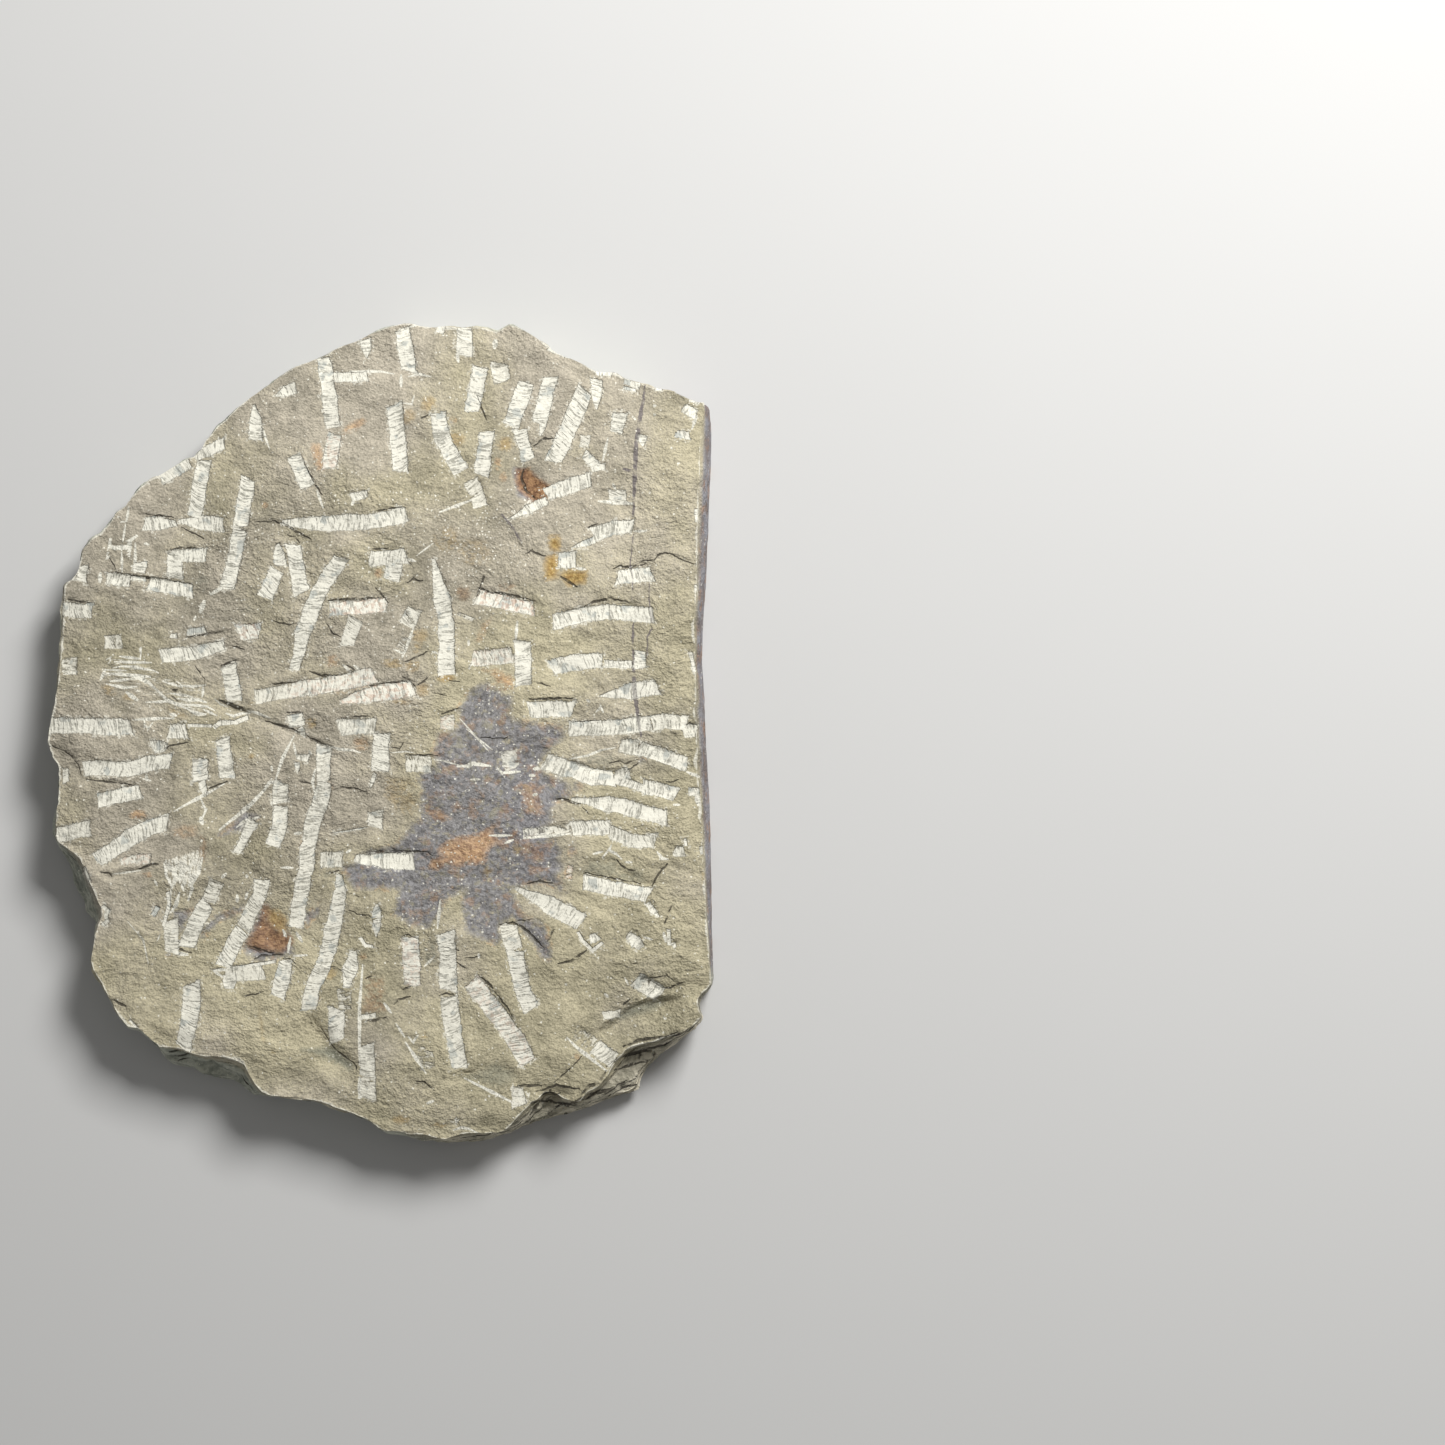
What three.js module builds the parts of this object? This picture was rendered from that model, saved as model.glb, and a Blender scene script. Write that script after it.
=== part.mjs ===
// A rough slab of grey-khaki mudstone, one half of a split fossil nodule. It lies on its plain bedding
// face. Its upper face is dressed with a flat chisel, its curved edge is chipped, and one side is a
// straight natural joint face. Millimetres, +Z up. The joint face looks along +X and the domed end +Y.

import * as THREE from "three";

// Driving dimensions, in millimetres and degrees.
const THICKNESS = 22; // underside to the mean upper face
const GRID = 54; // cells along each side of the grid that covers the upper face
const RIM_ROUND = 0.6; // how far the edge of the upper face lies inside the widest outline
const OUTLINE_STEP = 1.5; // longest straight piece kept when an outline is resampled
const EDGE_SAG = 0.9; // how far the upper face falls away over its last few millimetres
const EDGE_SAG_WIDTH = 9; // width of that falling border
const LEDGE_FACE = 2.2; // width of the broken face of a ledge
const SLAB_COLOUR = 0x9f9680;

// Slow waves in the upper face: height, wavelength and the direction that the wave runs in.
const WAVES = [
  { height: 0.55, length: 171, heading: 35, phase: 0.4 },
  { height: 0.35, length: 83, heading: 118, phase: 2.1 },
  { height: 0.22, length: 47, heading: 76, phase: 4.0 },
];

// The widest outline, clockwise from the left end, as the chipped edge runs.
const OUTLINE = [
  [-120.9, 27], [-120.7, 36], [-120.9, 41.8], [-120, 46.7], [-119.4, 49], [-119.4, 54.5],
  [-118.5, 55.8], [-117.1, 56.5], [-115.6, 58.3], [-113.8, 62.1], [-112.5, 68.1], [-110.2, 71.5],
  [-108.9, 72.8], [-105.8, 74.8], [-102.9, 78.4], [-100, 82.2], [-96.6, 84.4], [-94.2, 88.2],
  [-91.2, 91.8], [-87, 95], [-84, 96], [-80, 98.5], [-73, 102.5], [-71, 103], [-68, 106],
  [-66, 110], [-62, 115], [-58, 118], [-54, 122], [-49, 126], [-43, 130], [-36, 135.5],
  [-33, 137.5], [-29, 138.5], [-22, 141.5], [-16, 145], [-10, 147], [-4, 150], [4, 153],
  [8, 154], [12, 154], [20, 152.5], [30, 152.5], [36, 153], [40, 152.5], [43.5, 151], [48, 153.5],
  [51, 153], [55, 151], [60, 147.5], [66, 143], [75, 139], [82, 135.5], [88, 135], [93, 132.5],
  [100, 130], [106, 128.3], [110, 128], [119, 124], [122, 123.7], [123.5, 122.5], [124.3, 118],
  [124.3, 110], [123.8, 92], [123, 75], [122.3, 55], [121, 35], [120.9, 27], [121.2, 20],
  [122.3, 0], [123.2, -20], [124, -40], [124.5, -60], [124.8, -75], [125.1, -93], [124.8, -95.5],
  [123.8, -97.3], [121, -99.5], [120, -101], [119.7, -103], [120, -105], [121.2, -107],
  [120.5, -108.8], [117.5, -112], [113, -116], [109, -119.4], [105, -122.7], [100.5, -126.8],
  [98, -130.5], [97, -134.5], [94, -136.4], [85, -139.2], [77, -141.7], [70, -143.8],
  [62, -146.3], [52, -149], [48, -150.8], [42, -153], [34, -154.3], [28, -154.8], [20, -153.9],
  [16, -154], [10, -152], [3, -151], [0, -149.5], [-3, -147], [-10, -144], [-20, -140.7],
  [-24, -139.3], [-32, -138.3], [-40, -137.6], [-47.5, -137.2], [-51, -134.7], [-56, -131.5],
  [-62, -130.3], [-67, -129.3], [-70.5, -126.8], [-78, -125], [-80.2, -124], [-82, -120.5],
  [-83, -118.7], [-87, -115], [-90, -112.8], [-94, -111.8], [-97.2, -108], [-99.8, -103.5],
  [-102.3, -99], [-103.8, -95.5], [-106.9, -91], [-107.9, -87], [-106.5, -78], [-107.8, -72.5],
  [-109.4, -69.5], [-111.4, -68], [-112.1, -64], [-114.8, -59], [-118.5, -50], [-121.4, -43],
  [-123.6, -38.5], [-123.2, -34], [-121.9, -28], [-121.3, -20], [-121.9, -13], [-123.6, -10],
  [-125.2, -5], [-124.6, 0], [-123.7, 5], [-122.4, 10], [-122.1, 17], [-121, 24],
];

// Where the upper face stops short of the widest outline, because the side slopes or steps out.
const RIM_SPANS = {
  leftStrip: [[-119.6, 48], [-119.5, 41], [-119.7, 34], [-120.2, 22], [-121, 15], [-122, 11]],
  leftChip: [
    [-123.2, -10.2], [-120.8, -13], [-120.2, -20], [-120.3, -25], [-120.8, -30], [-121.4, -36],
    [-121.6, -40.6], [-120, -42.5], [-117, -44.5], [-114, -47], [-112, -49.5], [-110.5, -52],
    [-109.5, -55], [-107, -60], [-105, -65], [-103.8, -67], [-103.7, -70], [-105, -73],
    [-106, -77],
  ],
  lowerLeftStep: [
    [-81.6, -119], [-79, -119.5], [-73, -120], [-70.5, -121], [-68, -121.8], [-64, -122.5],
    [-58, -122.8], [-54, -124], [-50, -125.8], [-48.5, -129], [-46, -133], [-43.5, -136],
    [-40, -137],
  ],
  lowerRightStep: [
    [11, -151.8], [17, -151.8], [22, -152.8], [25, -153.4], [27, -152.6], [31, -151.3],
    [38, -151.3], [45, -151.2], [48, -149.6], [50, -147.5], [52, -145], [57, -140], [60, -138.5],
    [62, -136], [66, -136], [69, -138.5], [72, -139], [75, -139.5], [78, -136.5], [82, -134],
    [85.5, -130], [87, -127], [90, -123], [92, -120.5], [95, -119], [100, -117.5], [103, -117],
    [109, -114.8], [114.5, -113.2], [118.5, -110.2],
  ],
  jointFace: [
    [124.2, -94.5], [123.9, -90], [123.2, -80], [122.3, -70], [121.9, -60], [121.6, -50],
    [121, -42], [120.6, -35], [120.2, -25], [119.4, -15], [118.8, 0], [118.6, 10], [118.2, 25],
    [118, 38], [118.3, 45], [118.7, 55], [118.8, 65], [119, 75], [119.8, 90], [120, 100],
    [120.5, 112], [121.5, 119], [121.9, 123],
  ],
};

// The side of the slab, by bearing in degrees counter-clockwise from +X: the height of its widest
// point, how strongly it steps out as a shelf, and how far the foot is undercut below that point.
const SIDE = [
  { bearing: -180, widest: 13, shelf: 0, undercut: 4 },
  { bearing: -170, widest: 11, shelf: 0, undercut: 2.5 },
  { bearing: -162, widest: 10, shelf: 0, undercut: 3 },
  { bearing: -158, widest: 6, shelf: 0.2, undercut: 1.5 },
  { bearing: -150, widest: 5, shelf: 0.4, undercut: 1.5 },
  { bearing: -144, widest: 12, shelf: 0, undercut: 3 },
  { bearing: -132, widest: 14, shelf: 0, undercut: 4 },
  { bearing: -125, widest: 8, shelf: 0.6, undercut: 2 },
  { bearing: -117, widest: 6, shelf: 1, undercut: 1.5 },
  { bearing: -110, widest: 6, shelf: 0.3, undercut: 1.5 },
  { bearing: -102, widest: 14, shelf: 0, undercut: 4 },
  { bearing: -90, widest: 13, shelf: 0, undercut: 3.5 },
  { bearing: -79, widest: 10, shelf: 0, undercut: 2.5 },
  { bearing: -70, widest: 9, shelf: 0.3, undercut: 2 },
  { bearing: -63, widest: 6, shelf: 1, undercut: 1.5 },
  { bearing: -53, widest: 6, shelf: 1, undercut: 2 },
  { bearing: -46, widest: 8, shelf: 0.8, undercut: 2 },
  { bearing: -41, widest: 13, shelf: 0, undercut: 3 },
  { bearing: -38, widest: 8, shelf: 0, undercut: 2 },
  { bearing: -36, widest: 2, shelf: 0, undercut: 0.6 },
  { bearing: 44, widest: 2, shelf: 0, undercut: 0.6 },
  { bearing: 50, widest: 14, shelf: 0, undercut: 3 },
  { bearing: 65, widest: 15, shelf: 0, undercut: 4 },
  { bearing: 80, widest: 13, shelf: 0, undercut: 2.5 },
  { bearing: 95, widest: 14, shelf: 0, undercut: 4.5 },
  { bearing: 110, widest: 12, shelf: 0, undercut: 3 },
  { bearing: 125, widest: 15, shelf: 0, undercut: 5 },
  { bearing: 140, widest: 13, shelf: 0, undercut: 3 },
  { bearing: 155, widest: 14, shelf: 0, undercut: 4.5 },
  { bearing: 165, widest: 12, shelf: 0, undercut: 2.5 },
  { bearing: 180, widest: 13, shelf: 0, undercut: 4 },
];

// Ledges where a flake of rock has come away: the face falls by drop on the right of the line,
// walking along it, and climbs back to the level within reach.
const LEDGES = [
  {
    drop: 2.6,
    reach: 15,
    line: [[-22.4, -111.5], [-18.7, -115.5], [-16.2, -120.2], [-10, -125.4], [-7.8, -126.2], [-8.5, -129]],
  },
  { drop: 3.0, reach: 16, line: [[86.5, -110], [90, -107.5], [93, -104], [96, -102.7], [106.5, -100.8]] },
  { drop: 1.3, reach: 9, line: [[100.5, -93.5], [106, -97], [112, -95.5], [118, -94.5]] },
  { drop: 1.6, reach: 8, line: [[-123, -6.5], [-119, -8], [-115.5, -10.5], [-113, -14], [-112, -17]] },
  { drop: 0.9, reach: 7, line: [[-102, 57.5], [-95.5, 57.8], [-88, 56.7], [-71, 54.6]] },
  { drop: 0.9, reach: 7, line: [[-40, 17], [-33, 17.8], [-26.5, 21.5], [-22, 20], [-10, 21.3]] },
  { drop: 1.1, reach: 6, line: [[-3.8, 16.3], [4, 16.9], [11, 18.2], [13.3, 16]] },
  { drop: 1.4, reach: 9, line: [[-61, 10], [-49.5, 6.7], [-40, 2.4], [-31, -1], [-20, -5.8]] },
  { drop: 1.1, reach: 7, line: [[-4, -45.8], [5, -46], [14, -46.2], [20, -47.5]] },
  { drop: 1.2, reach: 9, line: [[76, -54], [77, -51], [80, -49], [88, -48.5], [92, -53], [101, -57]] },
  { drop: 0.9, reach: 6, line: [[38.5, -93], [44, -98.5], [50, -108]] },
  { drop: 1.0, reach: 7, line: [[45, -73.3], [50, -72.5], [56, -76], [61.5, -82]] },
  { drop: 0.8, reach: 6, line: [[-110, -18.5], [-98, -19.6], [-92, -20.8]] },
  { drop: 1.1, reach: 6, line: [[-48.5, -81.5], [-44, -83.2], [-36, -84.5]] },
  { drop: 0.9, reach: 8, line: [[70, 44.4], [76, 45.4], [80, 47.7], [86, 49], [94, 47.6]] },
  { drop: 0.9, reach: 7, line: [[73, -12], [78, -13.5], [88, -15.7]] },
  { drop: 1.0, reach: 7, line: [[66.5, -26.5], [71, -26.8], [75.5, -28.2]] },
  { drop: 0.9, reach: 7, line: [[-41, 78.4], [-31.2, 74.4], [-25.8, 71.3]] },
  { drop: 0.8, reach: 6, line: [[-19.5, 48.3], [-10, 48.5], [-0.4, 49.3]] },
  { drop: 0.9, reach: 6, line: [[37.3, 52.9], [40, 51.6], [51.1, 49.8], [58.3, 47.8]] },
  { drop: 1.0, reach: 7, line: [[-100, -54.5], [-90, -52.5], [-82.5, -50.6]] },
  { drop: 1.5, reach: 10, line: [[31, -128.5], [40, -126], [46, -124.5], [52, -129.5]] },
];

// Shallow hollows: centre, half-widths along X and Y, and depth.
const HOLLOWS = [
  { x: 56, y: 93, wide: 5.5, long: 6.5, depth: 1.8 },
  { x: -42, y: -77, wide: 8, long: 8, depth: 0.7 },
  { x: 66, y: -137, wide: 7, long: 3.5, depth: 1.6 },
  { x: -98, y: 14, wide: 13, long: 8, depth: 0.8 },
];

const degrees = (angle) => (angle * 180) / Math.PI;
const mix = (a, b, t) => a + (b - a) * t;
const smooth = (t) => {
  const s = Math.min(1, Math.max(0, t));
  return s * s * (3 - 2 * s);
};

// Adds points along each straight stretch of a line, so that none is longer than OUTLINE_STEP.
function resample(points) {
  const result = [];
  for (let i = 0; i + 1 < points.length; i += 1) {
    const [x0, y0] = points[i];
    const [x1, y1] = points[i + 1];
    const count = Math.ceil(Math.hypot(x1 - x0, y1 - y0) / OUTLINE_STEP);
    for (let k = 0; k < count; k += 1) {
      result.push([mix(x0, x1, k / count), mix(y0, y1, k / count)]);
    }
  }
  result.push(points[points.length - 1]);
  return result;
}

// Turns a line into a table of bearing against distance from the origin, in rising order of bearing.
function asPolar(points) {
  return resample(points)
    .map(([x, y]) => ({ bearing: degrees(Math.atan2(y, x)), radius: Math.hypot(x, y) }))
    .sort((a, b) => a.bearing - b.bearing);
}

// Reads one column of a table at a bearing, going straight from row to row.
function lookUp(table, bearing, column) {
  let low = 0;
  let high = table.length - 1;
  if (bearing <= table[low].bearing) return table[low][column];
  if (bearing >= table[high].bearing) return table[high][column];
  while (high - low > 1) {
    const middle = (low + high) >> 1;
    if (table[middle].bearing <= bearing) low = middle;
    else high = middle;
  }
  const width = table[high].bearing - table[low].bearing;
  const share = width > 0 ? (bearing - table[low].bearing) / width : 0;
  return mix(table[low][column], table[high][column], share);
}

function closedPolar(points) {
  const table = asPolar([...points, points[0]]);
  const last = table[table.length - 1];
  const before = { bearing: last.bearing - 360, radius: last.radius };
  const after = { bearing: table[0].bearing + 360, radius: table[0].radius };
  return [before, ...table, after];
}

const outlineTable = closedPolar(OUTLINE);
const rimTables = Object.values(RIM_SPANS).map(asPolar);

const outlineRadius = (bearing) => lookUp(outlineTable, bearing, "radius");

// The edge of the upper face: just inside the outline, or on the span that covers this bearing.
function rimRadius(bearing) {
  let radius = outlineRadius(bearing) - RIM_ROUND;
  for (const table of rimTables) {
    const covered = bearing >= table[0].bearing && bearing <= table[table.length - 1].bearing;
    if (covered) radius = Math.min(radius, lookUp(table, bearing, "radius"));
  }
  return radius;
}

// The fall of one ledge at a point: the nearest stretch of its line says on which side the point
// lies, how far away, and whether it is past the line's ends, where the ledge dies out.
function ledgeFall({ drop, reach, line }, x, y) {
  let nearest = Infinity;
  let fall = 0;
  line.slice(1).forEach(([x1, y1], i) => {
    const [x0, y0] = line[i];
    const length = Math.hypot(x1 - x0, y1 - y0);
    const along = ((x - x0) * (x1 - x0) + (y - y0) * (y1 - y0)) / length;
    const right = ((x - x0) * (y1 - y0) - (y - y0) * (x1 - x0)) / length;
    const past = Math.max(0, -along, along - length);
    const distance = Math.hypot(past, right);
    if (distance >= nearest) return;
    nearest = distance;
    const face = smooth(right / LEDGE_FACE + 0.5);
    const fade = Math.max(0, 1 - Math.max(0, right) / reach) ** 2;
    fall = drop * face * fade * (1 - smooth(past / (reach * 0.6)));
  });
  return fall;
}

function waveHeight({ height, length, heading, phase }, x, y) {
  const turn = (heading * Math.PI) / 180;
  const along = x * Math.cos(turn) + y * Math.sin(turn);
  return height * Math.sin((2 * Math.PI * along) / length + phase);
}

function hollowDepth({ x: cx, y: cy, wide, long, depth }, x, y) {
  const share = Math.hypot((x - cx) / wide, (y - cy) / long);
  return depth * (1 - smooth(share * 0.9 - 0.1));
}

// Height of the upper face at a point.
function upperHeight(x, y) {
  const bearing = degrees(Math.atan2(y, x));
  const border = rimRadius(bearing) - Math.hypot(x, y);
  let height = THICKNESS;
  for (const wave of WAVES) height += waveHeight(wave, x, y);
  for (const ledge of LEDGES) height -= ledgeFall(ledge, x, y);
  for (const hollow of HOLLOWS) height -= hollowDepth(hollow, x, y);
  return height - EDGE_SAG * (1 - smooth(border / EDGE_SAG_WIDTH));
}

// Maps a square grid onto a disc so that its outer ring lies on the circle.
function onDisc(a, b) {
  if (a === 0 && b === 0) return { share: 0, angle: 0 };
  const wide = Math.abs(a) > Math.abs(b);
  const signed = wide ? a : b;
  const angle = wide ? (Math.PI / 4) * (b / a) : Math.PI / 2 - (Math.PI / 4) * (a / b);
  return { share: Math.abs(signed), angle: signed < 0 ? angle + Math.PI : angle };
}

const wrap = (bearing) => (bearing > 180 ? bearing - 360 : bearing);

const positions = [];
const triangles = [];

function addPoint(x, y, z) {
  positions.push(x, y, z);
  return positions.length / 3 - 1;
}

// The upper face: the disc grid, stretched to the rim, more and more so towards the edge.
const bearings = [];
for (let i = 0; i < 720; i += 1) bearings.push(-180 + i / 2);
const meanRim = bearings.reduce((sum, bearing) => sum + rimRadius(bearing), 0) / bearings.length;

function addUpperFace() {
  const at = (column, row) => row * (GRID + 1) + column;
  for (let row = 0; row <= GRID; row += 1) {
    for (let column = 0; column <= GRID; column += 1) {
      const { share, angle } = onDisc((2 * column) / GRID - 1, (2 * row) / GRID - 1);
      const rim = rimRadius(wrap(degrees(angle)));
      const radius = share * (meanRim + (rim - meanRim) * share * share);
      const x = radius * Math.cos(angle);
      const y = radius * Math.sin(angle);
      addPoint(x, y, upperHeight(x, y));
    }
  }
  for (let row = 0; row < GRID; row += 1) {
    for (let column = 0; column < GRID; column += 1) {
      const a = at(column, row);
      const b = at(column + 1, row);
      const c = at(column + 1, row + 1);
      const d = at(column, row + 1);
      if ((column + row) % 2 === 0) triangles.push(a, b, c, a, c, d);
      else triangles.push(a, b, d, b, c, d);
    }
  }
  const loop = [];
  for (let k = 0; k < GRID; k += 1) loop.push(at(GRID, k));
  for (let k = GRID; k > 0; k -= 1) loop.push(at(k, GRID));
  for (let k = GRID; k > 0; k -= 1) loop.push(at(0, k));
  for (let k = 0; k < GRID; k += 1) loop.push(at(k, 0));
  return loop;
}

// One ring of the side, from the share out to the widest outline and the share down to it, or, below
// it, the share of the undercut and of the height that is left.
function addRing(rim, ring) {
  return rim.map((index) => {
    const [x, y, z] = positions.slice(index * 3, index * 3 + 3);
    const bearing = degrees(Math.atan2(y, x));
    const shelf = lookUp(SIDE, bearing, "shelf");
    const widest = lookUp(SIDE, bearing, "widest");
    const undercut = lookUp(SIDE, bearing, "undercut");
    const inner = Math.hypot(x, y);
    const outer = outlineRadius(bearing);
    const out = mix(ring.out[0], ring.out[1], shelf);
    const down = mix(ring.down[0], ring.down[1], shelf);
    const radius = mix(inner, outer, out) - undercut * ring.under;
    const height = mix(mix(z, widest, down), 0, ring.foot);
    const scale = radius / inner;
    return addPoint(x * scale, y * scale, height);
  });
}

// Rings of the side from the rim to the foot; each pair is for a plain side and for a shelf.
const RINGS = [
  { out: [0.45, 0.22], down: [0.3, 0.55], under: 0, foot: 0 },
  { out: [0.82, 0.85], down: [0.68, 0.68], under: 0, foot: 0 },
  { out: [1, 1], down: [1, 1], under: 0, foot: 0 },
  { out: [1, 1], down: [1, 1], under: 0.35, foot: 0.55 },
  { out: [1, 1], down: [1, 1], under: 1, foot: 1 },
];

function joinRings(upper, lower) {
  upper.forEach((a, i) => {
    const next = (i + 1) % upper.length;
    triangles.push(a, lower[i], lower[next], a, lower[next], upper[next]);
  });
}

// The flat underside that the slab rests on.
function addUnderside(foot) {
  const corners = foot.map((index) => new THREE.Vector2(positions[index * 3], positions[index * 3 + 1]));
  for (const [a, b, c] of THREE.ShapeUtils.triangulateShape(corners, [])) {
    triangles.push(foot[a], foot[c], foot[b]);
  }
}

function buildSlab() {
  const rim = addUpperFace();
  let upper = rim;
  for (const ring of RINGS) {
    const lower = addRing(rim, ring);
    joinRings(upper, lower);
    upper = lower;
  }
  addUnderside(upper);
  const geometry = new THREE.BufferGeometry();
  geometry.setAttribute("position", new THREE.Float32BufferAttribute(positions, 3));
  geometry.setIndex(triangles);
  geometry.computeBoundingBox();
  const centre = geometry.boundingBox.getCenter(new THREE.Vector3());
  geometry.translate(-centre.x, -centre.y, 0);
  geometry.computeVertexNormals();
  return geometry;
}

const material = new THREE.MeshStandardMaterial({
  color: SLAB_COLOUR,
  roughness: 0.92,
  metalness: 0,
  flatShading: true,
});
const slab = new THREE.Mesh(buildSlab(), material);
slab.name = "slab";

const group = new THREE.Group();
group.add(slab);

export default group;
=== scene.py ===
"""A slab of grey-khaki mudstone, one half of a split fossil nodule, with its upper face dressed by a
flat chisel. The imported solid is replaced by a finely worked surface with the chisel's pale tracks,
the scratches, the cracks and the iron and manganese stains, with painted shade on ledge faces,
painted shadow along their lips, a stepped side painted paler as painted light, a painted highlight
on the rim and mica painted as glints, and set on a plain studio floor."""

import math
from collections import namedtuple

import bpy
import numpy as np
from bpy.props import FloatProperty, FloatVectorProperty, IntProperty, PointerProperty
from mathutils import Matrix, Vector


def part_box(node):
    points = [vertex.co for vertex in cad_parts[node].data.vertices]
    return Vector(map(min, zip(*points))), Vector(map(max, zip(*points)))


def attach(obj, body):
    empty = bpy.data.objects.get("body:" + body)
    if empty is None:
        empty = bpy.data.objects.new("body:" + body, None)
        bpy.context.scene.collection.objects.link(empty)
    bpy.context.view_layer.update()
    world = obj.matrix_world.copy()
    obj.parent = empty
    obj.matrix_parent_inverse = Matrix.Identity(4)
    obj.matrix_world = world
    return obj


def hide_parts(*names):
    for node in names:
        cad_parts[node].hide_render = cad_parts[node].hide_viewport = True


bl_info = {
    "name": "Chisel-dressed mudstone slab",
    "version": (1, 0, 0),
    "blender": (4, 5, 0),
    "location": "View3D > Sidebar > Mudstone",
    "description": "Builds a rough half of a split nodule with chisel tracks on its upper face",
    "category": "Add Mesh",
}

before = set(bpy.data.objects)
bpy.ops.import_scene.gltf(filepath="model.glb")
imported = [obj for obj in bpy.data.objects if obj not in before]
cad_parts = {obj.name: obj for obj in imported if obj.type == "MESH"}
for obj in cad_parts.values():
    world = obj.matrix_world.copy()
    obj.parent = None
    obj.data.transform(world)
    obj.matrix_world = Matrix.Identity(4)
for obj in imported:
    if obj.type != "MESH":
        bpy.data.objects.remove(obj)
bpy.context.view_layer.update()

MM = 0.001

# The shape of the slab, in millimetres and degrees, as in the solid that it replaces.
THICKNESS = 22
RIM_ROUND = 0.6
OUTLINE_STEP = 1.5
EDGE_SAG = 0.9
EDGE_SAG_WIDTH = 9
LEDGE_FACE = 2.2

# Slow waves in the upper face: height, wavelength, heading and phase.
WAVES = [(0.55, 171, 35, 0.4), (0.35, 83, 118, 2.1), (0.22, 47, 76, 4.0)]

# The widest outline, clockwise from the left end, as the chipped edge runs.
OUTLINE = [
    -120.9, 27, -120.7, 36, -120.9, 41.8, -120, 46.7, -119.4, 49, -119.4, 54.5, -118.5, 55.8, -117.1,
    56.5, -115.6, 58.3, -113.8, 62.1, -112.5, 68.1, -110.2, 71.5, -108.9, 72.8, -105.8, 74.8, -102.9,
    78.4, -100, 82.2, -96.6, 84.4, -94.2, 88.2, -91.2, 91.8, -87, 95, -84, 96, -80, 98.5, -73, 102.5,
    -71, 103, -68, 106, -66, 110, -62, 115, -58, 118, -54, 122, -49, 126, -43, 130, -36, 135.5, -33,
    137.5, -29, 138.5, -22, 141.5, -16, 145, -10, 147, -4, 150, 4, 153, 8, 154, 12, 154, 20, 152.5, 30,
    152.5, 36, 153, 40, 152.5, 43.5, 151, 48, 153.5, 51, 153, 55, 151, 60, 147.5, 66, 143, 75, 139, 82,
    135.5, 88, 135, 93, 132.5, 100, 130, 106, 128.3, 110, 128, 119, 124, 122, 123.7, 123.5, 122.5,
    124.3, 118, 124.3, 110, 123.8, 92, 123, 75, 122.3, 55, 121, 35, 120.9, 27, 121.2, 20, 122.3, 0,
    123.2, -20, 124, -40, 124.5, -60, 124.8, -75, 125.1, -93, 124.8, -95.5, 123.8, -97.3, 121, -99.5,
    120, -101, 119.7, -103, 120, -105, 121.2, -107, 120.5, -108.8, 117.5, -112, 113, -116, 109, -119.4,
    105, -122.7, 100.5, -126.8, 98, -130.5, 97, -134.5, 94, -136.4, 85, -139.2, 77, -141.7, 70, -143.8,
    62, -146.3, 52, -149, 48, -150.8, 42, -153, 34, -154.3, 28, -154.8, 20, -153.9, 16, -154, 10, -152,
    3, -151, 0, -149.5, -3, -147, -10, -144, -20, -140.7, -24, -139.3, -32, -138.3, -40, -137.6, -47.5,
    -137.2, -51, -134.7, -56, -131.5, -62, -130.3, -67, -129.3, -70.5, -126.8, -78, -125, -80.2, -124,
    -82, -120.5, -83, -118.7, -87, -115, -90, -112.8, -94, -111.8, -97.2, -108, -99.8, -103.5, -102.3,
    -99, -103.8, -95.5, -106.9, -91, -107.9, -87, -106.5, -78, -107.8, -72.5, -109.4, -69.5, -111.4,
    -68, -112.1, -64, -114.8, -59, -118.5, -50, -121.4, -43, -123.6, -38.5, -123.2, -34, -121.9, -28,
    -121.3, -20, -121.9, -13, -123.6, -10, -125.2, -5, -124.6, 0, -123.7, 5, -122.4, 10, -122.1, 17,
    -121, 24,
]

# Where the upper face stops short of the widest outline, because the side slopes or steps out.
RIM_SPANS = {
    "left strip": [
        -119.6, 48, -119.5, 41, -119.7, 34, -120.2, 22, -121, 15, -122, 11,
    ],
    "left chip": [
        -123.2, -10.2, -120.8, -13, -120.2, -20, -120.3, -25, -120.8, -30, -121.4, -36, -121.6, -40.6,
        -120, -42.5, -117, -44.5, -114, -47, -112, -49.5, -110.5, -52, -109.5, -55, -107, -60,
        -105, -65, -103.8, -67, -103.7, -70, -105, -73, -106, -77,
    ],
    "lower left step": [
        -81.6, -119, -79, -119.5, -73, -120, -70.5, -121, -68, -121.8, -64, -122.5, -58, -122.8,
        -54, -124, -50, -125.8, -48.5, -129, -46, -133, -43.5, -136, -40, -137,
    ],
    "lower right step": [
        11, -151.8, 17, -151.8, 22, -152.8, 25, -153.4, 27, -152.6, 31, -151.3, 38, -151.3, 45, -151.2,
        48, -149.6, 50, -147.5, 52, -145, 57, -140, 60, -138.5, 62, -136, 66, -136, 69, -138.5,
        72, -139, 75, -139.5, 78, -136.5, 82, -134, 85.5, -130, 87, -127, 90, -123, 92, -120.5,
        95, -119, 100, -117.5, 103, -117, 109, -114.8, 114.5, -113.2, 118.5, -110.2,
    ],
    "joint face": [
        124.2, -94.5, 123.9, -90, 123.2, -80, 122.3, -70, 121.9, -60, 121.6, -50, 121, -42, 120.6, -35,
        120.2, -25, 119.4, -15, 118.8, 0, 118.6, 10, 118.2, 25, 118, 38, 118.3, 45, 118.7, 55,
        118.8, 65, 119, 75, 119.8, 90, 120, 100, 120.5, 112, 121.5, 119, 121.9, 123,
    ],
}

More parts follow.
